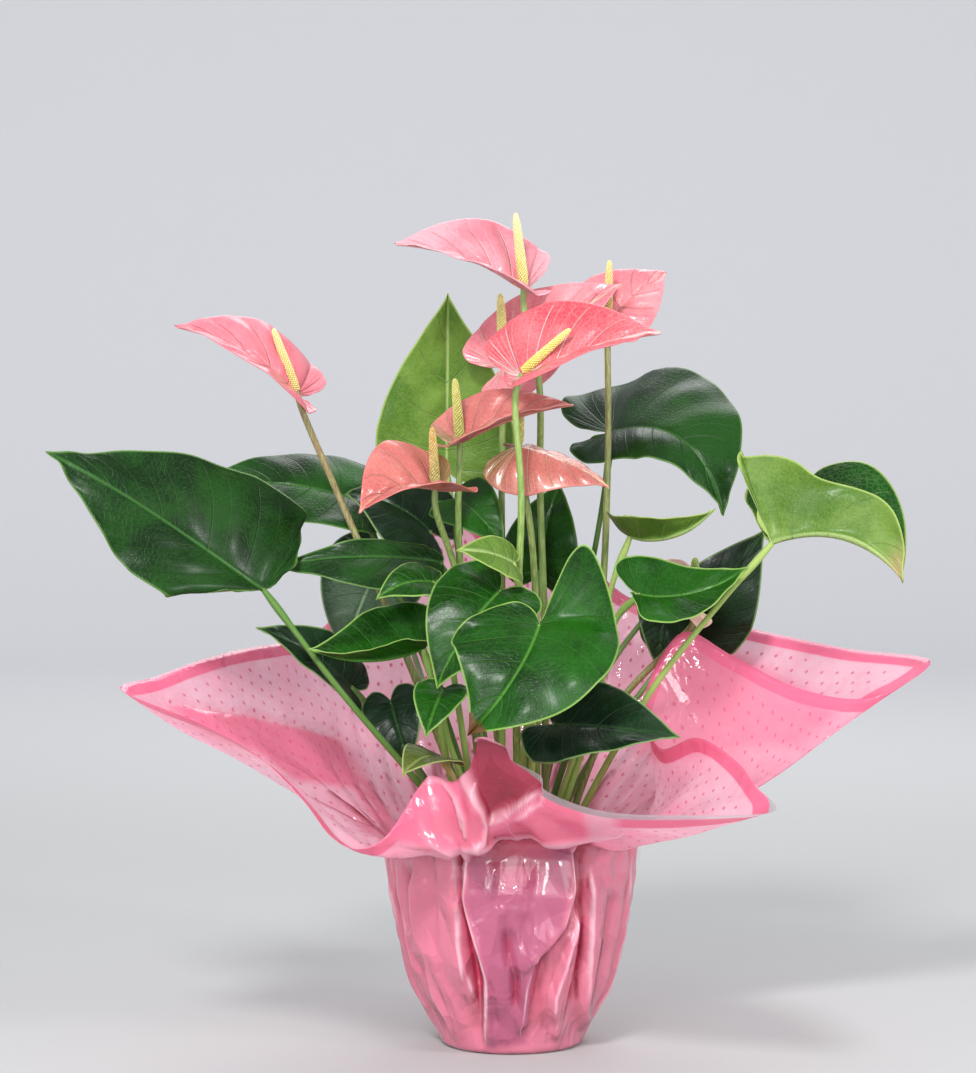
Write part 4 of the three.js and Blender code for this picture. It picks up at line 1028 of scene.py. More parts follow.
# Folds of the gathered side as the picture shows them: the points that each passes, from
# the top down, its height, and its reach to the left and to the right, in mm.
FOLDS = (
    (((466, 855), (463, 900), (475, 937), (487, 980), (486, 1048)), 5.0, 2.0, 9.0),
    (((574, 846), (573, 887), (562, 927), (535, 962)), 5.0, 9.0, 2.2),
    (((535, 962), (527, 993), (523, 1027)), 2.4, 4.0, 2.0),
    (((593, 897), (592, 940), (587, 1030)), 3.6, 1.9, 8.0),
    (((580, 922), (567, 967), (555, 1000), (557, 1037)), 3.4, 1.6, 4.5),
    (((410, 883), (413, 947), (433, 1000), (457, 1040), (472, 1052)), 3.6, 1.4, 6.0),
    (((454, 850), (456, 897), (458, 947), (462, 973)), 3.4, 7.0, 2.0),
    (((390, 850), (397, 900), (408, 947), (412, 973)), 3.0, 4.0, 1.4),
    (((480, 927), (493, 973), (503, 1007)), 1.6, 2.5, 1.8),
    (((512, 925), (527, 953), (537, 970)), 1.8, 1.8, 3.0), (((500, 953), (527, 987)), 1.5, 1.8, 2.4),
    (((463, 973), (470, 993), (477, 1027)), 2.0, 3.0, 1.4),
    (((610, 850), (612, 880), (625, 905)), 2.0, 2.0, 5.0),
    (((628, 850), (631, 887), (618, 957), (597, 1013)), 2.6, 5.0, 1.8),
    (((470, 900), (487, 913), (523, 913), (563, 907)), 1.3, 2.2, 1.2),
    (((385, 862), (400, 864), (416, 862)), 1.6, 2.5, 1.5),
    (((420, 900), (440, 892), (452, 880)), 1.3, 1.6, 2.2),
    (((425, 985), (450, 978), (462, 985)), 1.4, 1.8, 1.6),
    (((600, 860), (618, 868), (634, 862)), 1.2, 1.6, 2.0),
    (((440, 930), (452, 945), (455, 965)), 1.3, 1.5, 1.5), (((575, 960), (570, 985)), 1.6, 1.6, 1.2),
    (((500, 1000), (505, 1045)), 1.6, 2.0, 1.4),
)
FOLD_RISE, FOLD_REACH, FOLD_BASE = 1.8, 2.2, 4.6
# Hollows between them, with their depth and width in mm.
HOLLOWS = (
    (((459, 855), (459, 905), (466, 945), (474, 985), (476, 1030)), 5.0, 3.0),
    (((583, 850), (585, 897), (586, 950), (580, 1000)), 5.5, 2.6),
    (((400, 870), (404, 905), (408, 930)), 3.6, 2.4), (((418, 960), (432, 990), (450, 1022)), 2.6, 3.0),
    (((545, 960), (540, 1000), (538, 1030)), 3.6, 3.2), (((505, 940), (515, 975), (516, 1005)), 2.8, 3.0),
    (((490, 985), (495, 1020)), 2.6, 2.6), (((618, 900), (606, 960), (594, 1010)), 3.0, 3.0),
)
# Small domes that catch the light: the place of each, its two half widths and its height in mm.
DOMES = (
    ((490, 884), (3.4, 15.0), 1.8), ((433, 856), (3.0, 6.0), 1.2), ((460, 897), (2.2, 5.0), 1.2),
    ((580, 874), (2.2, 9.0), 1.4), ((627, 874), (3.0, 6.0), 1.2), ((402, 905), (3.0, 8.0), 1.2),
)
# Smooth stretches among the crumples, as outlines in the picture.
SMOOTH_PANELS = (
    ((468, 852), (573, 846), (572, 890), (558, 925), (500, 915), (472, 925)),
    ((600, 868), (630, 862), (628, 900), (600, 930)), ((414, 862), (452, 856), (450, 905), (418, 925)),
)
# Where the film's flat sheet has its corners, as the angles of ribs at the neck.
SHEET_CORNERS = (195, 305, 21, 112)
# Outlines in the picture of film that lies doubled, in front and behind.
DOUBLED = (
    ((160, 701), (203, 707), (253, 713), (307, 727), (380, 752), (408, 780), (430, 850), (386, 836),
     (353, 790), (293, 780), (263, 757), (203, 730)),
    ((462, 748), (497, 744), (535, 765), (580, 800), (592, 846), (500, 850), (440, 850), (400, 800),
     (425, 775)),
)
DOUBLED_REAR = (
    ((640, 648), (690, 636), (745, 656), (807, 690), (838, 712), (797, 746), (730, 750), (640, 760),
     (610, 720)),
)
# Painted shade: mauve film where the dark pot behind darkens the panel, and dark strokes above it, with the
# width of each in mm.
MAUVE_PAINTED_SHADE = (
    ((470, 853), (573, 846), (572, 890), (562, 930), (538, 962), (530, 1000), (527, 1045), (488, 1050),
     (486, 985), (475, 940), (464, 900)),
)
PAINTED_SHADE_STROKES = (
    (((512, 852), (516, 872), (526, 884)), 2.2), (((528, 852), (531, 868), (534, 882)), 1.6),
    (((545, 852), (546, 866), (550, 872)), 1.6), (((508, 856), (530, 862), (560, 856)), 3.0),
)
# The shaded inside of the front loop.
LOOP_INSIDE = (
    (457, 757), (463, 748), (474, 742), (487, 742), (505, 748), (524, 757), (535, 770), (540, 787),
    (536, 800), (520, 811), (504, 819), (492, 828), (485, 816), (474, 803), (462, 788), (457, 772),
)
# Edges where the film is rolled over, raised and given a painted pale highlight, and the width of each in mm.
ROLLED = (
    (((457, 757), (456, 772), (461, 787), (473, 803), (483, 816), (487, 829), (484, 843), (473, 849)), 0.9),
    (((457, 757), (464, 747), (480, 741), (505, 748), (525, 757), (537, 772), (541, 788)), 0.9),
    (((455, 800), (463, 818), (464, 838)), 0.7), (((492, 828), (515, 812), (537, 798)), 0.7),
    (((462, 851), (500, 847), (540, 845), (575, 841), (620, 838)), 0.8),
    (((407, 783), (425, 777), (443, 781), (457, 800), (461, 830)), 0.8),
    (((163, 700), (203, 707), (253, 713), (307, 727), (345, 740), (380, 756)), 0.9),
)
# Film in front that carries no print.
PLAIN_FRONT = (
    ((392, 770), (440, 735), (560, 735), (612, 770), (618, 846), (560, 860), (400, 860)),
)


def triangle_wave(x):
    return np.abs(2 * (x - np.floor(x + 0.5)))


def film_ribs():
    """Angle at the neck, end point and belly of every column."""
    ribs = np.array([[angle if angle >= FILM_EDGE[0][0] else angle + 360, *end, belly]
                     for angle, end, belly in FILM_EDGE], float)
    count = len(ribs)
    even = np.linspace(0, count, 3601)
    angle = np.interp(even, np.arange(count + 1), np.append(ribs[:, 0], ribs[0, 0] + 360))
    crowd = np.cumsum(1 + FRONT_CROWD * ((angle > 200) & (angle < 340)))
    shares = (crowd - crowd[0]) / (crowd[-1] - crowd[0])
    spot = np.interp(np.arange(FILM_COLUMNS) / FILM_COLUMNS, shares, even)
    i = spot.astype(int)

    def pick(k):
        row = ribs[(i + k) % count].copy()
        row[:, 0] += 360 * ((i + k) // count)
        return row

    return cubic(*map(pick, (-1, 0, 1, 2)), (spot - i)[:, None])


def pleat_rows():
    """Irregular pleats for the sides and the back, in order of angle."""
    random = np.random.default_rng(12)
    rows = [[205, 205, 205, 0, 0, 0], [335, 335, 335, 0, 0, 0]]
    angle, valley = 342.0, True
    while angle < 558:
        depth = -random.uniform(3.6, 6.4) if valley else random.uniform(-0.8, 0.6)
        drift = random.uniform(-3, 3, 3)
        rows.append([*(angle + drift), depth * 0.6, depth, depth * 0.95])
        angle += random.uniform(5.5, 9.5)
        valley = not valley
    return np.array(rows, float)


def seen_at(points):
    """Where the camera sees points given in mm, in pixels of the photograph."""
    across, away, rise = np.moveaxis(points - np.array(EYE), -1, 0)
    lean = math.radians(EYE_PITCH)
    depth = away * math.cos(lean) - rise * math.sin(lean)
    lift = away * math.sin(lean) + rise * math.cos(lean)
    return PICTURE[0] / 2 + FOCAL * across / depth, PICTURE[1] / 2 - FOCAL * lift / depth


def to_line(px, py, line):
    """Distance in mm from picture points to a line of points, positive to its left going down."""
    best, signed = np.full(px.shape, 1e9), np.zeros(px.shape)
    for (x0, y0), (x1, y1) in zip(line, line[1:]):
        dx, dy = x1 - x0, y1 - y0
        share = np.clip(((px - x0) * dx + (py - y0) * dy) / (dx * dx + dy * dy), 0, 1)
        gap = np.hypot(px - x0 - share * dx, py - y0 - share * dy) * PIXEL
        side = np.sign((px - x0) * dy - (py - y0) * dx)
        signed = np.where(gap < best, -gap * side, signed)
        best = np.minimum(gap, best)
    return signed


def near_line(px, py, line, wide):
    """1 on a line of the picture, fading over its width in mm."""
    return np.exp(-(to_line(px, py, line) / wide) ** 2)


def in_outlines(px, py, outlines, soft):
    """1 inside the outlines of the picture and 0 outside, turning over a soft edge in mm."""
    most = np.zeros(px.shape)
    for outline in outlines:
        inside = np.zeros(px.shape, bool)
        for (x0, y0), (x1, y1) in zip(outline, outline[1:] + outline[:1]):
            if y0 != y1:
                inside ^= ((y0 > py) != (y1 > py)) & (px < (x1 - x0) * (py - y0) / (y1 - y0) + x0)
        gap = np.abs(to_line(px, py, outline + outline[:1]))
        most = np.maximum(most, smooth(np.where(inside, gap, -gap), -soft, soft))
    return most


def drawn_folds(px, py):
    """How far the folds of the front stand out."""
    height = np.zeros(px.shape)
    for line, rise, left, right in FOLDS:
        gap = to_line(px, py, line)
        reach = FOLD_REACH * np.where(gap > 0, left, right)
        height = np.maximum(height, FOLD_RISE * rise * (1 - np.abs(gap) / reach))
    for line, depth, wide in HOLLOWS:
        height -= depth * near_line(px, py, line, wide)
    for (x, y), (wide, tall), rise in DOMES:
        away = np.hypot((px - x) * PIXEL / wide, (py - y) * PIXEL / tall)
        height += rise * np.cos(np.clip(away, 0, 1) * np.pi / 2) ** 2
    return height - FOLD_BASE


def across_of(grid):
    """The way from each column to the next, and the unit normal that points inward."""
    by_column = (np.roll(grid, -1, axis=1) - np.roll(grid, 1, axis=1)) / 2
    return by_column, unit(np.cross(np.gradient(grid, axis=0), by_column))


def film_rest(ribs):
    """The film before it is folded: rows of points, their heights, their shares of the flare, and
    the first row's way from the middle."""
    turn = np.radians(ribs[:, 0])
    out = np.stack([np.cos(turn), np.sin(turn), np.zeros(FILM_COLUMNS)], -1)
    profile = spline_at(FILM_SIDE, np.linspace(0, 1, 500))
    profile[:, 1] = np.maximum(profile[:, 1], 0)
    run = np.concatenate([[0], np.cumsum(np.linalg.norm(np.diff(profile, axis=0), axis=1))])
    stops = np.concatenate([np.linspace(0, FLAT_FLOOR, DISC_ROWS + 1)[1:],
                            np.linspace(FLAT_FLOOR, run[-1], SIDE_ROWS + 1)[1:]])
    height = np.interp(stops, run, profile[:, 1])
    side = out[None] * np.interp(stops, run, profile[:, 0])[:, None, None]
    side[..., 2] = height[:, None]
    neck = out * NECK[0]
    neck[:, 2] = NECK[1]
    end, belly = ribs[:, 1:4], ribs[:, 4:5]
    middle = (neck + end) / 2 + out * belly
    middle[:, 2] -= belly[:, 0]
    share = np.linspace(0, 1, FLARE_ROWS + 1)[1:]
    s = share[:, None, None]
    flare = (1 - s) ** 2 * neck + 2 * s * (1 - s) * middle + s ** 2 * end
    return (np.concatenate([side, flare]), np.concatenate([height, np.full(FLARE_ROWS, NECK[1])]),
            np.concatenate([np.zeros(len(stops)), share]), stops[0])


def flat_sheet(grid, first, angles):
    """Where each point lies on the flat sheet, in mm from its middle."""
    steps = np.linalg.norm(np.diff(grid, axis=0), axis=-1)
    reach = np.vstack([np.full(FILM_COLUMNS, first), first + np.cumsum(steps, axis=0)])
    chord = np.linalg.norm(np.roll(grid[-1], -1, axis=0) - grid[-1], axis=1)
    near, far = reach[-1], np.roll(reach[-1], -1)
    swing = np.arccos(np.clip((near ** 2 + far ** 2 - chord ** 2) / (2 * near * far), -1, 1))
    swing *= 2 * np.pi / swing.sum()
    around = np.concatenate([[0], np.cumsum(swing)[:-1]])
    corners = [np.argmin(np.abs(angles - (a if a >= FILM_EDGE[0][0] else a + 360))) for a in SHEET_CORNERS]
    drift = np.mean([around[c] - np.pi / 2 * k for k, c in enumerate(corners)])
    around = around - drift + np.pi / 4
    return reach[..., None] * np.stack([np.cos(around), np.sin(around)], -1)


def side_folds(px, py, spots, height, share):
    """How far the gathered side stands out from its profile: pleats, drawn folds and crumples."""
    rows = pleat_rows()
    z, turn = height[:, None], np.radians(spots)
    offset = np.zeros(px.shape)
    for r, level in enumerate(height):
        ring, depth = ([np.interp(level, PLEAT_LEVELS, row[k:k + 3]) for row in rows] for k in (0, 3))
        offset[r] = np.interp(spots, np.array(ring) % 360, depth, period=360)
    facing = between(spots, *FRONT_ARC)
    plain = in_outlines(px, py, SMOOTH_PANELS, 3.0) * facing
    wander = 0.3 * np.sin(z / 37 + 3 * turn) + 0.1 * np.sin(z / 11 + 7 * turn)
    fine = triangle_wave(spots * FINE_PLEATS / 360 + wander)
    fine = fine + 0.6 * triangle_wave(spots * FINER_PLEATS / 360 - 1.4 * wander + 0.3)
    slant = triangle_wave(z / 21 + 1.7 * np.sin(4 * turn) + 0.4 * np.sin(z / 13))
    fine = (fine - 0.8) * (0.8 + 0.5 * np.sin(5 * turn + z / 30)) + (slant - 0.5) * 0.5
    offset = offset + drawn_folds(px, py) * facing + fine * (2.5 - 2.1 * facing) * (1 - 0.9 * plain)
    fade_out = 1 - smooth(share[:, None], 0.02, 0.5)
    offset *= smooth(z, 0.5, 16) * fade_out
    offset = np.clip(offset, np.interp(height, *DEEPEST)[:, None], OUTERMOST)
    for _ in range(2):
        offset = (np.roll(offset, 1, axis=1) + 2 * offset + np.roll(offset, -1, axis=1)) / 4
        offset[1:-1] = (offset[:-2] + 2 * offset[1:-1] + offset[2:]) / 4
    panel = between(spots, *PANEL_ARC) * smooth(z, 50, 99)
    return offset + (1.2 - PINCH * np.maximum(z - 99, 0)) * panel * fade_out ** 2


def film_surface():
    """The middle surface of the film as rows of columns, and what its maps need."""
    ribs = film_ribs()
    grid, height, share, first = film_rest(ribs)
    flat = flat_sheet(grid, first, ribs[:, 0])
    spots = ribs[:, 0] % 360
    px, py = seen_at(grid)
    offset = side_folds(px, py, spots, height, share)
    turn, spread = np.radians(ribs[:, 0]), share[:, None]
    folds = triangle_wave(spots * FLARE_FOLDS / 360 + 0.35 * np.sin(4 * turn + 5 * spread) + 0.2 * spread)
    folds = (folds - 0.5) * FOLDS_RISE * (0.4 + 0.6 * np.sin(3 * turn + 1.0) ** 2)
    offset = offset + folds * between(spread, 0.0, 0.16, 0.35, 1.0)
    billow = BILLOW_RISE * np.sin(9 * turn + 3.2 * spread) * np.sin(2.6 * np.pi * spread + 2 * turn)
    offset = offset + billow * smooth(spread, 0.1, 0.5) * (1 - 0.5 * smooth(spread, 0.7, 1))

    front = between(spots, *FLARE_ARC) * (spread > 0)
    bowl = in_outlines(px, py, [LOOP_INSIDE], 4.0) * front
    rolled = np.max([near_line(px, py, line, 1.6 * wide) for line, wide in ROLLED], axis=0) * front
    offset = offset * (1 - bowl) - BOWL_DEPTH * bowl + ROLL_RISE * rolled

    by_column, inward = across_of(grid)
    grid = grid - inward * offset[..., None]
    grid[..., 2] += FILM_FLOOR
    step = np.maximum(np.linalg.norm(by_column, axis=-1), 0.2)
    turned = (2 * offset - np.roll(offset, 1, axis=1) - np.roll(offset, -1, axis=1)) / step
    # Painted shade in the valleys, the sharp inward turns and the loop's bowl, and a painted highlight on the
    # ridges and rolled edges.
    valley = (smooth(-offset, 2.2, 8.0) + 0.8 * smooth(-turned, 0.16, 0.65)) * (spread < 0.3)
    crease = (np.maximum(smooth(turned, 0.18, 0.7), rolled), np.maximum(valley, 1.6 * bowl))
    return grid, flat, spots, share, crease


def film_maps(grid, flat, spots, share, crease):
    """For each map, the middle point's own row and the rows of every point after it."""
    gap = np.full(grid.shape[:2], FAR_FROM_EDGE)
    for r in np.where(share >= 0.55)[0]:
        gap[r] = np.linalg.norm(grid[r][:, None] - grid[-1][None], axis=-1).min(axis=1)
    px, py = seen_at(grid)
    front = between(spots, *DOUBLED_ARC)
    rear = smooth(spots, 306, 312) + 1 - smooth(spots, 50, 60)
    spread = share[:, None]
    doubled = np.maximum.reduce([
        0.35 * between(spread, 0, 0.1, 0.15, 0.45) + 0 * gap, in_outlines(px, py, DOUBLED, 3.5) * front,
        0.7 * in_outlines(px, py, DOUBLED_REAR, 6.0) * rear])
    mauve_painted_shade = in_outlines(px, py, MAUVE_PAINTED_SHADE, 3.0) * front
    for line, wide in PAINTED_SHADE_STROKES:
        mauve_painted_shade += near_line(px, py, line, wide) * front * (spread == 0)
    plain = in_outlines(px, py, PLAIN_FRONT, 5.0) * front
    clear = between(spots, *CLEAR_ARC) + 0 * gap
    body = 1 - smooth(spread, 0.0, 0.12) + 0 * gap
    return {"flat": ((0, 0), flat), "edge": ((FAR_FROM_EDGE, 0), (gap, clear)),
            "layer": ((0, 1), (doubled, body)), "crease": ((0, 0), crease), "shade": ((0, 0), (mauve_painted_shade, plain))}


def add_film():
    grid, *rest = film_surface()
    rows, columns = grid.shape[:2]
    inward = across_of(grid)[1] * FILM_HALF
    centre, rise = np.array([[0, 0, FILM_FLOOR]]), np.array([[0, 0, FILM_HALF]])
    count = 1 + rows * columns
    points = np.vstack([centre + rise, (grid + inward).reshape(-1, 3),
                        centre - rise, (grid - inward).reshape(-1, 3)])
    ids = 1 + np.arange(rows * columns).reshape(rows, columns)
    nxt = np.roll(ids, -1, axis=1)
    fan = np.stack([np.zeros(columns, int), ids[0], nxt[0]], -1)
    quads = np.stack([ids[:-1], ids[1:], nxt[1:], nxt[:-1]], -1).reshape(-1, 4)
    edge = np.stack([ids[-1], ids[-1] + count, nxt[-1] + count, nxt[-1]], -1)
    faces = [face for part in (fan, quads, fan[:, ::-1] + count, quads[:, ::-1] + count, edge)
             for face in part.tolist()]
    corners = np.concatenate(faces) % count
    maps = {}
    for label, (pole, pair) in film_maps(grid, *rest).items():
        pair = np.stack(pair, -1) if isinstance(pair, tuple) else pair
        maps[label] = np.vstack([[pole], pair.reshape(-1, 2)])[corners]
    piece = add_piece("film_sheet", make_mesh("film_sheet", points, faces, maps), (film_finish(),),
                      "film", "film_wrap")


def film_finish():
    """Thin see-through film: printed dots, a deeper border, a clear strip, fine crumples, and painted shade
    and highlights on its folds.
    """
    g, close = finish_material("printed_film")
    place = g.place()
    (u, v), (gap, clear), (doubled, body), (ridge, valley), (mauve_painted_shade, plain) = map(
        g.uv, ("flat", "edge", "layer", "crease", "shade"))

    def rest(mask, share=1.0):
        return g.sub(1.0, g.mul(mask, share))

    line = g.maths("DIVIDE", v, DOT_ROW)
    stagger = g.mul(g.maths("MODULO", g.maths("ABSOLUTE", g.maths("FLOOR", line)), 2.0), 0.5)
    turn = g.maths("FRACT", g.add(g.maths("DIVIDE", u, DOT_PITCH), stagger))
    across = g.mul(g.sub(turn, 0.5), DOT_PITCH)
    down = g.mul(g.sub(g.maths("FRACT", line), 0.5), DOT_ROW)
    far = g.maths("SQRT", g.add(g.mul(across, across), g.mul(down, down)))
    dot = g.span(far, DOT_RADIUS - 0.3, DOT_RADIUS + 0.3, 1.0, 0.0)
    from_strip = g.sub(gap, g.mul(clear, CLEAR_STRIP))
    strip = g.span(from_strip, -0.4, 0.0, 1.0, 0.0)
    band = g.mul(g.span(from_strip, BAND - 0.5, BAND + 0.5, 1.0, 0.0), rest(strip))
    dot = g.mul(g.mul(dot, g.span(from_strip, BAND + 3.0, BAND + 4.0)), rest(body, 0.9))
    dot, band = g.mul(dot, rest(plain, 0.9)), g.mul(band, rest(plain, 0.9))
    own = g.mottle(place, 14.0, 180.0)
    # Over the pinks lie doubled film, the body, painted shade on the mauve panel and in the valleys, a
    # painted highlight on the ridges, then the print and the clear strip.
    masks = (doubled, body, mauve_painted_shade, valley, ridge, dot, band, strip)
    layers = [(mask, *layer) for mask, layer in zip(masks, FILM_LAYERS)]
    colour = g.layers(g.colour(own, *FILM_TINTS), *layers)
    cover = g.add(g.add(0.44, g.mul(doubled, 0.3)), g.mul(body, 0.26))
    cover = g.add(cover, g.mul(g.maths("MAXIMUM", dot, band), 0.3), clamp=True)
    # The film is made less see-through where its valleys carry painted shade.
    cover = g.blend(strip, g.add(cover, g.mul(valley, 0.2), clamp=True), 0.12)
    drift = g.node("ShaderNodeTexNoise", {"Vector": place, "Scale": 30.0, "Detail": 2.0}).outputs["Color"]
    bent = g.out("ShaderNodeVectorMath", {0: drift, 1: (0.007, 0.007, 0.009), 2: place},
                 operation="MULTIPLY_ADD")
    tall = g.out("ShaderNodeMapping", {"Vector": bent, "Rotation": (0.5, 0.3, 0.7), "Scale": (1.0, 1.0, 0.6)})
    facet = g.out("ShaderNodeTexVoronoi", {"Vector": tall, "Scale": 46.0}, distance="MANHATTAN")
    height = g.add(g.mul(facet, g.blend(body, 0.4, 1.6)), g.noise(place, 34.0, 3.0, 0.55, 0.8))
    return close(colour, g.even(own, 0.06, 0.14), g.bump(height, 0.003, 0.8), g.blend(body, 0.42, 0.06),
                 alpha=cover, coat=1.0, coat_roughness=0.03, shine=0.7)


# Pot, soil, crown and tape

POT_PROFILE = (
    (0, 1.3), (37, 1.3), (39.2, 1.9), (40, 4.3), (63, 103.3), (65.4, 103.3), (66, 104.2), (66, 114.6),
    (65.4, 115.3), (62.2, 115.3), (61.6, 114.7), (61.6, 103.3), (38.6, 2.7), (0, 2.7),
)
DRAIN_HOLES = {"radius": 4.0, "circle": 24.0, "count": 5}


def lathe_rows(profile, sides=72):
    """Points and faces of a closed turned solid whose profile starts and ends on the axis."""
    turn = circle(sides)
    rings = [np.stack([r * np.cos(turn), r * np.sin(turn), np.full(sides, z)], -1) for r, z in profile[1:-1]]
    points = np.vstack([[[0, 0, profile[0][1]]], *rings, [[0, 0, profile[-1][1]]]])
    faces = []
    top = 1 + (len(rings) - 1) * sides
    for k in range(sides):
        n = (k + 1) % sides
        faces.append([0, 1 + n, 1 + k])
        faces += [[a + k, a + n, a + sides + n, a + sides + k] for a in range(1, top, sides)]
        faces.append([top + k, top + n, len(points) - 1])
    return points, faces


def add_pot():
    g, close = finish_material("pot_plastic")
    place = g.place()
    dust = g.span(g.noise(place, 60.0, 4.0), 0.52, 0.72)
    colour = g.colour(g.mottle(place, 30.0, 900.0), (34, 31, 34), (56, 50, 54))
    plastic = close(g.layers(colour, (dust, 0.35, (120, 100, 82))), g.even(dust, 0.42, 0.7),
                    g.bump(g.noise(place, 1400.0), 0.0002, 0.5))
    shell = linked("pot_blank", make_mesh("pot_blank", *lathe_rows(POT_PROFILE)))
    drills = []
    r = DRAIN_HOLES["radius"]
    for turn in circle(DRAIN_HOLES["count"]):
        points, faces = lathe_rows([(0, -4), (r, -4), (r, 6), (0, 6)], 20)
        points[:, :2] += DRAIN_HOLES["circle"] * np.array([math.cos(turn), math.sin(turn)])
        drills.append(linked("drill", make_mesh("drill", points, faces)))
        cut = shell.modifiers.new("drain", "BOOLEAN")
        cut.operation, cut.solver, cut.object = "DIFFERENCE", "EXACT", drills[-1]
    mesh = evaluated(shell, "pot_shell")
    for drill in drills:
        bpy.data.objects.remove(drill)
    mesh.polygons.foreach_set("use_smooth", np.zeros(len(mesh.polygons), bool))
    add_piece("pot_shell", mesh, (plastic,), "pot", "nursery_pot")


def bumpy(points, size, height, seed):
    """Slow deterministic bumps for heaps, as a height for each point."""
    random = np.random.default_rng(seed)
    total = np.zeros(len(points))
    for k in range(9):
        way = random.normal(size=3)
        way /= np.linalg.norm(way)
        wave = np.sin(points @ way * 2 * np.pi / (size * (0.6 + 0.12 * k)) + random.uniform(0, 6.3))
        total += wave / (1 + 0.4 * k)
    return total / 3 * height


def scatter_tree():
    """Rough scraps set on a surface: where the ground faces up, at random turns and sizes."""
    g, given, output = geometry_tree(
        "scraps_on_ground", Density=40000.0, Smallest=(0.5, 0.5, 0.5), Largest=(1.0, 1.0, 1.0),
        Radius=0.002, Seed=3)

    def random(low, high, seed):
        return g.out("FunctionNodeRandomValue", {"Min": low, "Max": high, "Seed": seed},
                     data_type="FLOAT_VECTOR")

    upward = g.node("ShaderNodeSeparateXYZ", {0: g.out("GeometryNodeInputNormal")}).outputs[2]
    facing = g.out("FunctionNodeCompare", {0: upward, 1: 0.6}, data_type="FLOAT", operation="GREATER_THAN")
    spread = g.out("GeometryNodeDistributePointsOnFaces", {
        "Mesh": given["Geometry"], "Selection": facing, "Density": given["Density"], "Seed": given["Seed"]})
    turn = random((-0.5, -0.5, 0.0), (0.5, 0.5, 6.3), given["Seed"])
    size = random(given["Smallest"], given["Largest"], g.add(given["Seed"], 7))
    return close_tree(g, given, output, g.out("GeometryNodeInstanceOnPoints", {
        "Points": spread, "Instance": g.ball(given["Radius"]),
        "Rotation": g.out("FunctionNodeEulerToRotation", {0: turn}), "Scale": size}))


SCRAPS = scatter_tree()


def earthy(name, dark, light, fleck, coarse):
    g, close = finish_material(name)
    place = g.place()
    grain = g.span(g.noise(place, coarse, 5.0, 0.65), 0.35, 0.65)
    crumb = g.span(g.cells(place, coarse * 2.2), 0.0, 0.25)
    flecks = g.span(g.noise(place, coarse * 3), 0.62, 0.68, 0.0, 0.6)
    return close(g.colour(flecks, g.colour(grain, dark, light), fleck), g.even(grain, 0.75, 0.98),
                 g.bump(g.weigh((grain, 0.7), (crumb, 0.6)), 0.0012, 0.9))


def add_heap(name, profile, bumps, seed, lift_from, ground, loose, slot, **scraps):
    """A bumpy heap with loose scraps on it, as one piece."""
    points, faces = lathe_rows(profile)
    size, height = bumps
    free = smooth(points[:, 2], lift_from, lift_from + 1.5)
    points[:, 2] += bumpy(points, size, height, seed) * free - height * 0.4 * free
    mesh = make_mesh(name, points, faces)
    bits = grown(SCRAPS, loose.name, mesh.copy(), loose, **scraps)
    points, faces, slots = stacked(mesh_rows(mesh), mesh_rows(bits))
    add_piece(name, make_mesh(name, points, faces, slots=slots), (ground, loose), slot, slot)


def add_soil():
    rings = [(r, 98 + 4 * min(1.0, (59.2 - r) / 15)) for r in np.linspace(59.2, 3, 22)]
    peat = earthy("peat", (22, 15, 11), (62, 44, 31), (120, 92, 62), 320.0)
    bark = earthy("bark_chips", (58, 38, 24), (112, 78, 50), (150, 116, 80), 420.0)
    add_heap("soil_heap", [(0, 3.1), (38.2, 3.1), *rings, (0, 102)], (9, 1.5), 5, 97, peat, bark, "soil",
             Radius=0.0021, Density=52000.0, Seed=3, Smallest=(0.4, 0.3, 0.2), Largest=(1.2, 0.9, 0.5))


def add_crown():
    rings = [(40, 103.2), (39.4, 104.6), (38, 106.6)] + [(r, 107.9) for r in np.linspace(35, 3, 16)]
    woody = earthy("crown_wood", (58, 56, 26), (112, 104, 56), (150, 132, 84), 260.0)
    dry = earthy("dry_scales", (96, 74, 44), (150, 122, 78), (184, 160, 112), 500.0)
    add_heap("crown_clump", [(0, 102.3), (40, 102.3), *rings, (0, 108)], (7, 1.2), 9, 104, woody, dry,
             "crown", Radius=0.0026, Density=60000.0, Seed=8, Smallest=(0.3, 0.12, 0.1),
             Largest=(1.3, 0.4, 0.3))


TAPE_Z, TAPE_HEIGHT, TAPE_THICKNESS = 108.0, 9.0, 0.12
TAPE_SIDES, TAPE_LEVELS = 240, 6


def add_tape():
    """A clear strip of tape that bridges the pleats, just outside the film."""
    g, close = finish_material("clear_tape")
    ripple = g.noise(g.flattened(0.2), 120.0, 2.0)
    clear = close(g.colour(g.span(ripple, 0.35, 0.65), (250, 160, 190), (255, 190, 210)),
                  g.span(ripple, 0.3, 0.7, 0.06, 0.16), g.bump(ripple, 0.0003, 0.4),
                  alpha=g.span(ripple, 0.3, 0.7, 0.03, 0.06), coat=0.4, coat_roughness=0.06)
    turn = circle(TAPE_SIDES)
    sag = 0.35 * np.sin(11 * turn) + 0.25 * np.sin(23 * turn + 1)
    z = np.linspace(TAPE_Z, TAPE_Z + TAPE_HEIGHT, TAPE_LEVELS)[:, None]
    inner = 74 + 3 * (z - 92) / 29 + 1.1 + sag
    points = np.concatenate([np.stack([r * np.cos(turn), r * np.sin(turn), z + 0 * r], -1)
                             for r in (inner, inner + TAPE_THICKNESS)]).reshape(-1, 3)
    ids = np.arange(len(points)).reshape(2, TAPE_LEVELS, TAPE_SIDES)
    loop = [*ids[1], *ids[0][::-1]]
    faces = []
    for a, b in zip(loop, loop[1:] + loop[:1]):
        faces += np.stack([a, np.roll(a, -1), np.roll(b, -1), b], -1).tolist()
    add_piece("clear_tape", make_mesh("clear_tape", points, faces), (clear,), "tape", "neck_tape")


# Studio

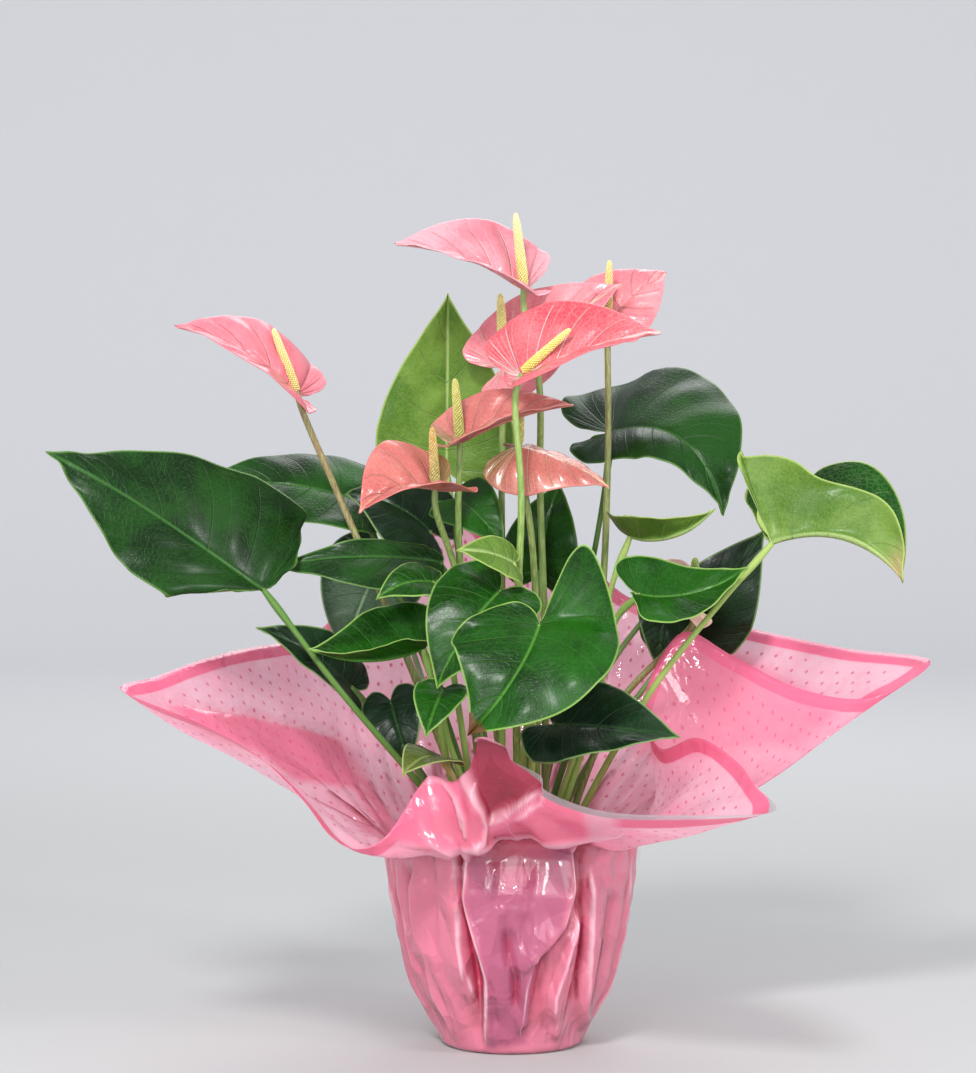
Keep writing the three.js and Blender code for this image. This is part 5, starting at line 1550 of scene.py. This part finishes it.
# Lamps: place and aim in metres, width, power in watts, and height where it isn't the width.
LAMPS = table("name place aim size watts tall", (
    ("key", (-0.45, -1.75, 1.7), (0, 0, 0.2), 0.42, 40), ("side", (1.5, -1.3, 1.0), (0, 0, 0.2), 0.25, 11),
    ("back", (0.3, 1.3, 1.8), (0, 0, 0.3), 1.4, 20), ("fill", (-0.6, -2.4, 0.5), (0, 0, 0.12), 2.2, 30),
    ("left_glint", (-0.5, -1.8, 0.55), (0, 0, 0.12), 0.12, 3.5, 0.5),
    ("right_glint", (1.6, -0.8, 0.5), (0, 0, 0.12), 0.12, 3.5, 0.5),
), tall=None)
# The paper's half width, the place and radius of its bend, and its top, in mm.
PAPER_HALF, BEND_Y, BEND_RADIUS, PAPER_TOP = 16000.0, 3000.0, 1500.0, 9000.0


def add_camera():
    camera = linked("camera", bpy.data.cameras.new("camera"))
    camera.location = Vector(EYE) * MM
    camera.rotation_euler = (math.radians(90 - EYE_PITCH), 0, 0)
    camera.data.sensor_width = SENSOR
    camera.data.lens = SENSOR * FOCAL / max(PICTURE)
    camera.data.clip_start, camera.data.clip_end = 0.05, 20
    bpy.context.scene.camera = camera


def add_lamp(lamp):
    light = linked(lamp["name"], bpy.data.lights.new(lamp["name"], "AREA"))
    light.data.shape, light.data.energy = "ELLIPSE", lamp["watts"]
    light.data.size, light.data.size_y = lamp["size"], lamp["tall"] or lamp["size"]
    light.location = lamp["place"]
    light.visible_camera = False
    way = Vector(lamp["aim"]) - Vector(lamp["place"])
    light.rotation_euler = way.to_track_quat("-Z", "Y").to_euler()


def add_studio():
    g, close = finish_material("studio_paper")
    place = g.place()
    behind = g.node("ShaderNodeSeparateXYZ", {0: place}).outputs[1]
    # Painted light: the paper is darker near the plant and lighter far behind and away from it, a brightness
    # painted into its colour.
    far = g.maths("MAXIMUM", g.span(behind, 0.6, 3.0), g.span(g.length(place), 3.4, 6.0))
    dark = g.colour(far, (0.42, 0.424, 0.422), (0.78, 0.78, 0.79))
    light = g.colour(far, (0.435, 0.439, 0.437), (0.8, 0.8, 0.81))
    paper = close(g.colour(g.span(g.noise(place, 900.0), 0.3, 0.7), dark, light), 0.9)
    profile = [(BEND_Y + BEND_RADIUS * math.sin(a), BEND_RADIUS * (1 - math.cos(a)))
               for a in np.linspace(0, np.pi / 2, 24)]
    profile = [(-PAPER_HALF, 0.0), *profile, (BEND_Y + BEND_RADIUS, PAPER_TOP)]
    points = [(x, y, z) for x in (-PAPER_HALF, PAPER_HALF) for y, z in profile]
    count = len(profile)
    faces = [[k, count + k, count + k + 1, k + 1] for k in range(count - 1)]
    sweep = linked("studio_sweep", make_mesh("studio_sweep", points, faces))
    sweep.data.materials.append(paper)
    for lamp in LAMPS:
        add_lamp(lamp)
    world = bpy.data.worlds.new("studio")
    world.use_nodes = True
    sky = world.node_tree.nodes["Background"].inputs
    sky[0].default_value, sky[1].default_value = (0.93, 0.95, 1.0, 1), 0.75
    bpy.context.scene.world = world
    bpy.context.scene.view_settings.view_transform = "Standard"


# The plant

add_camera()
add_studio()
add_film()
add_tape()
add_pot()
add_soil()
add_crown()
for seed, leaf in enumerate(LEAVES):
    add_leaf(leaf, seed)
for number, (flower, look) in enumerate(zip(FLOWERS, FLOWER_LOOKS), start=1):
    add_flower(flower, look, number)
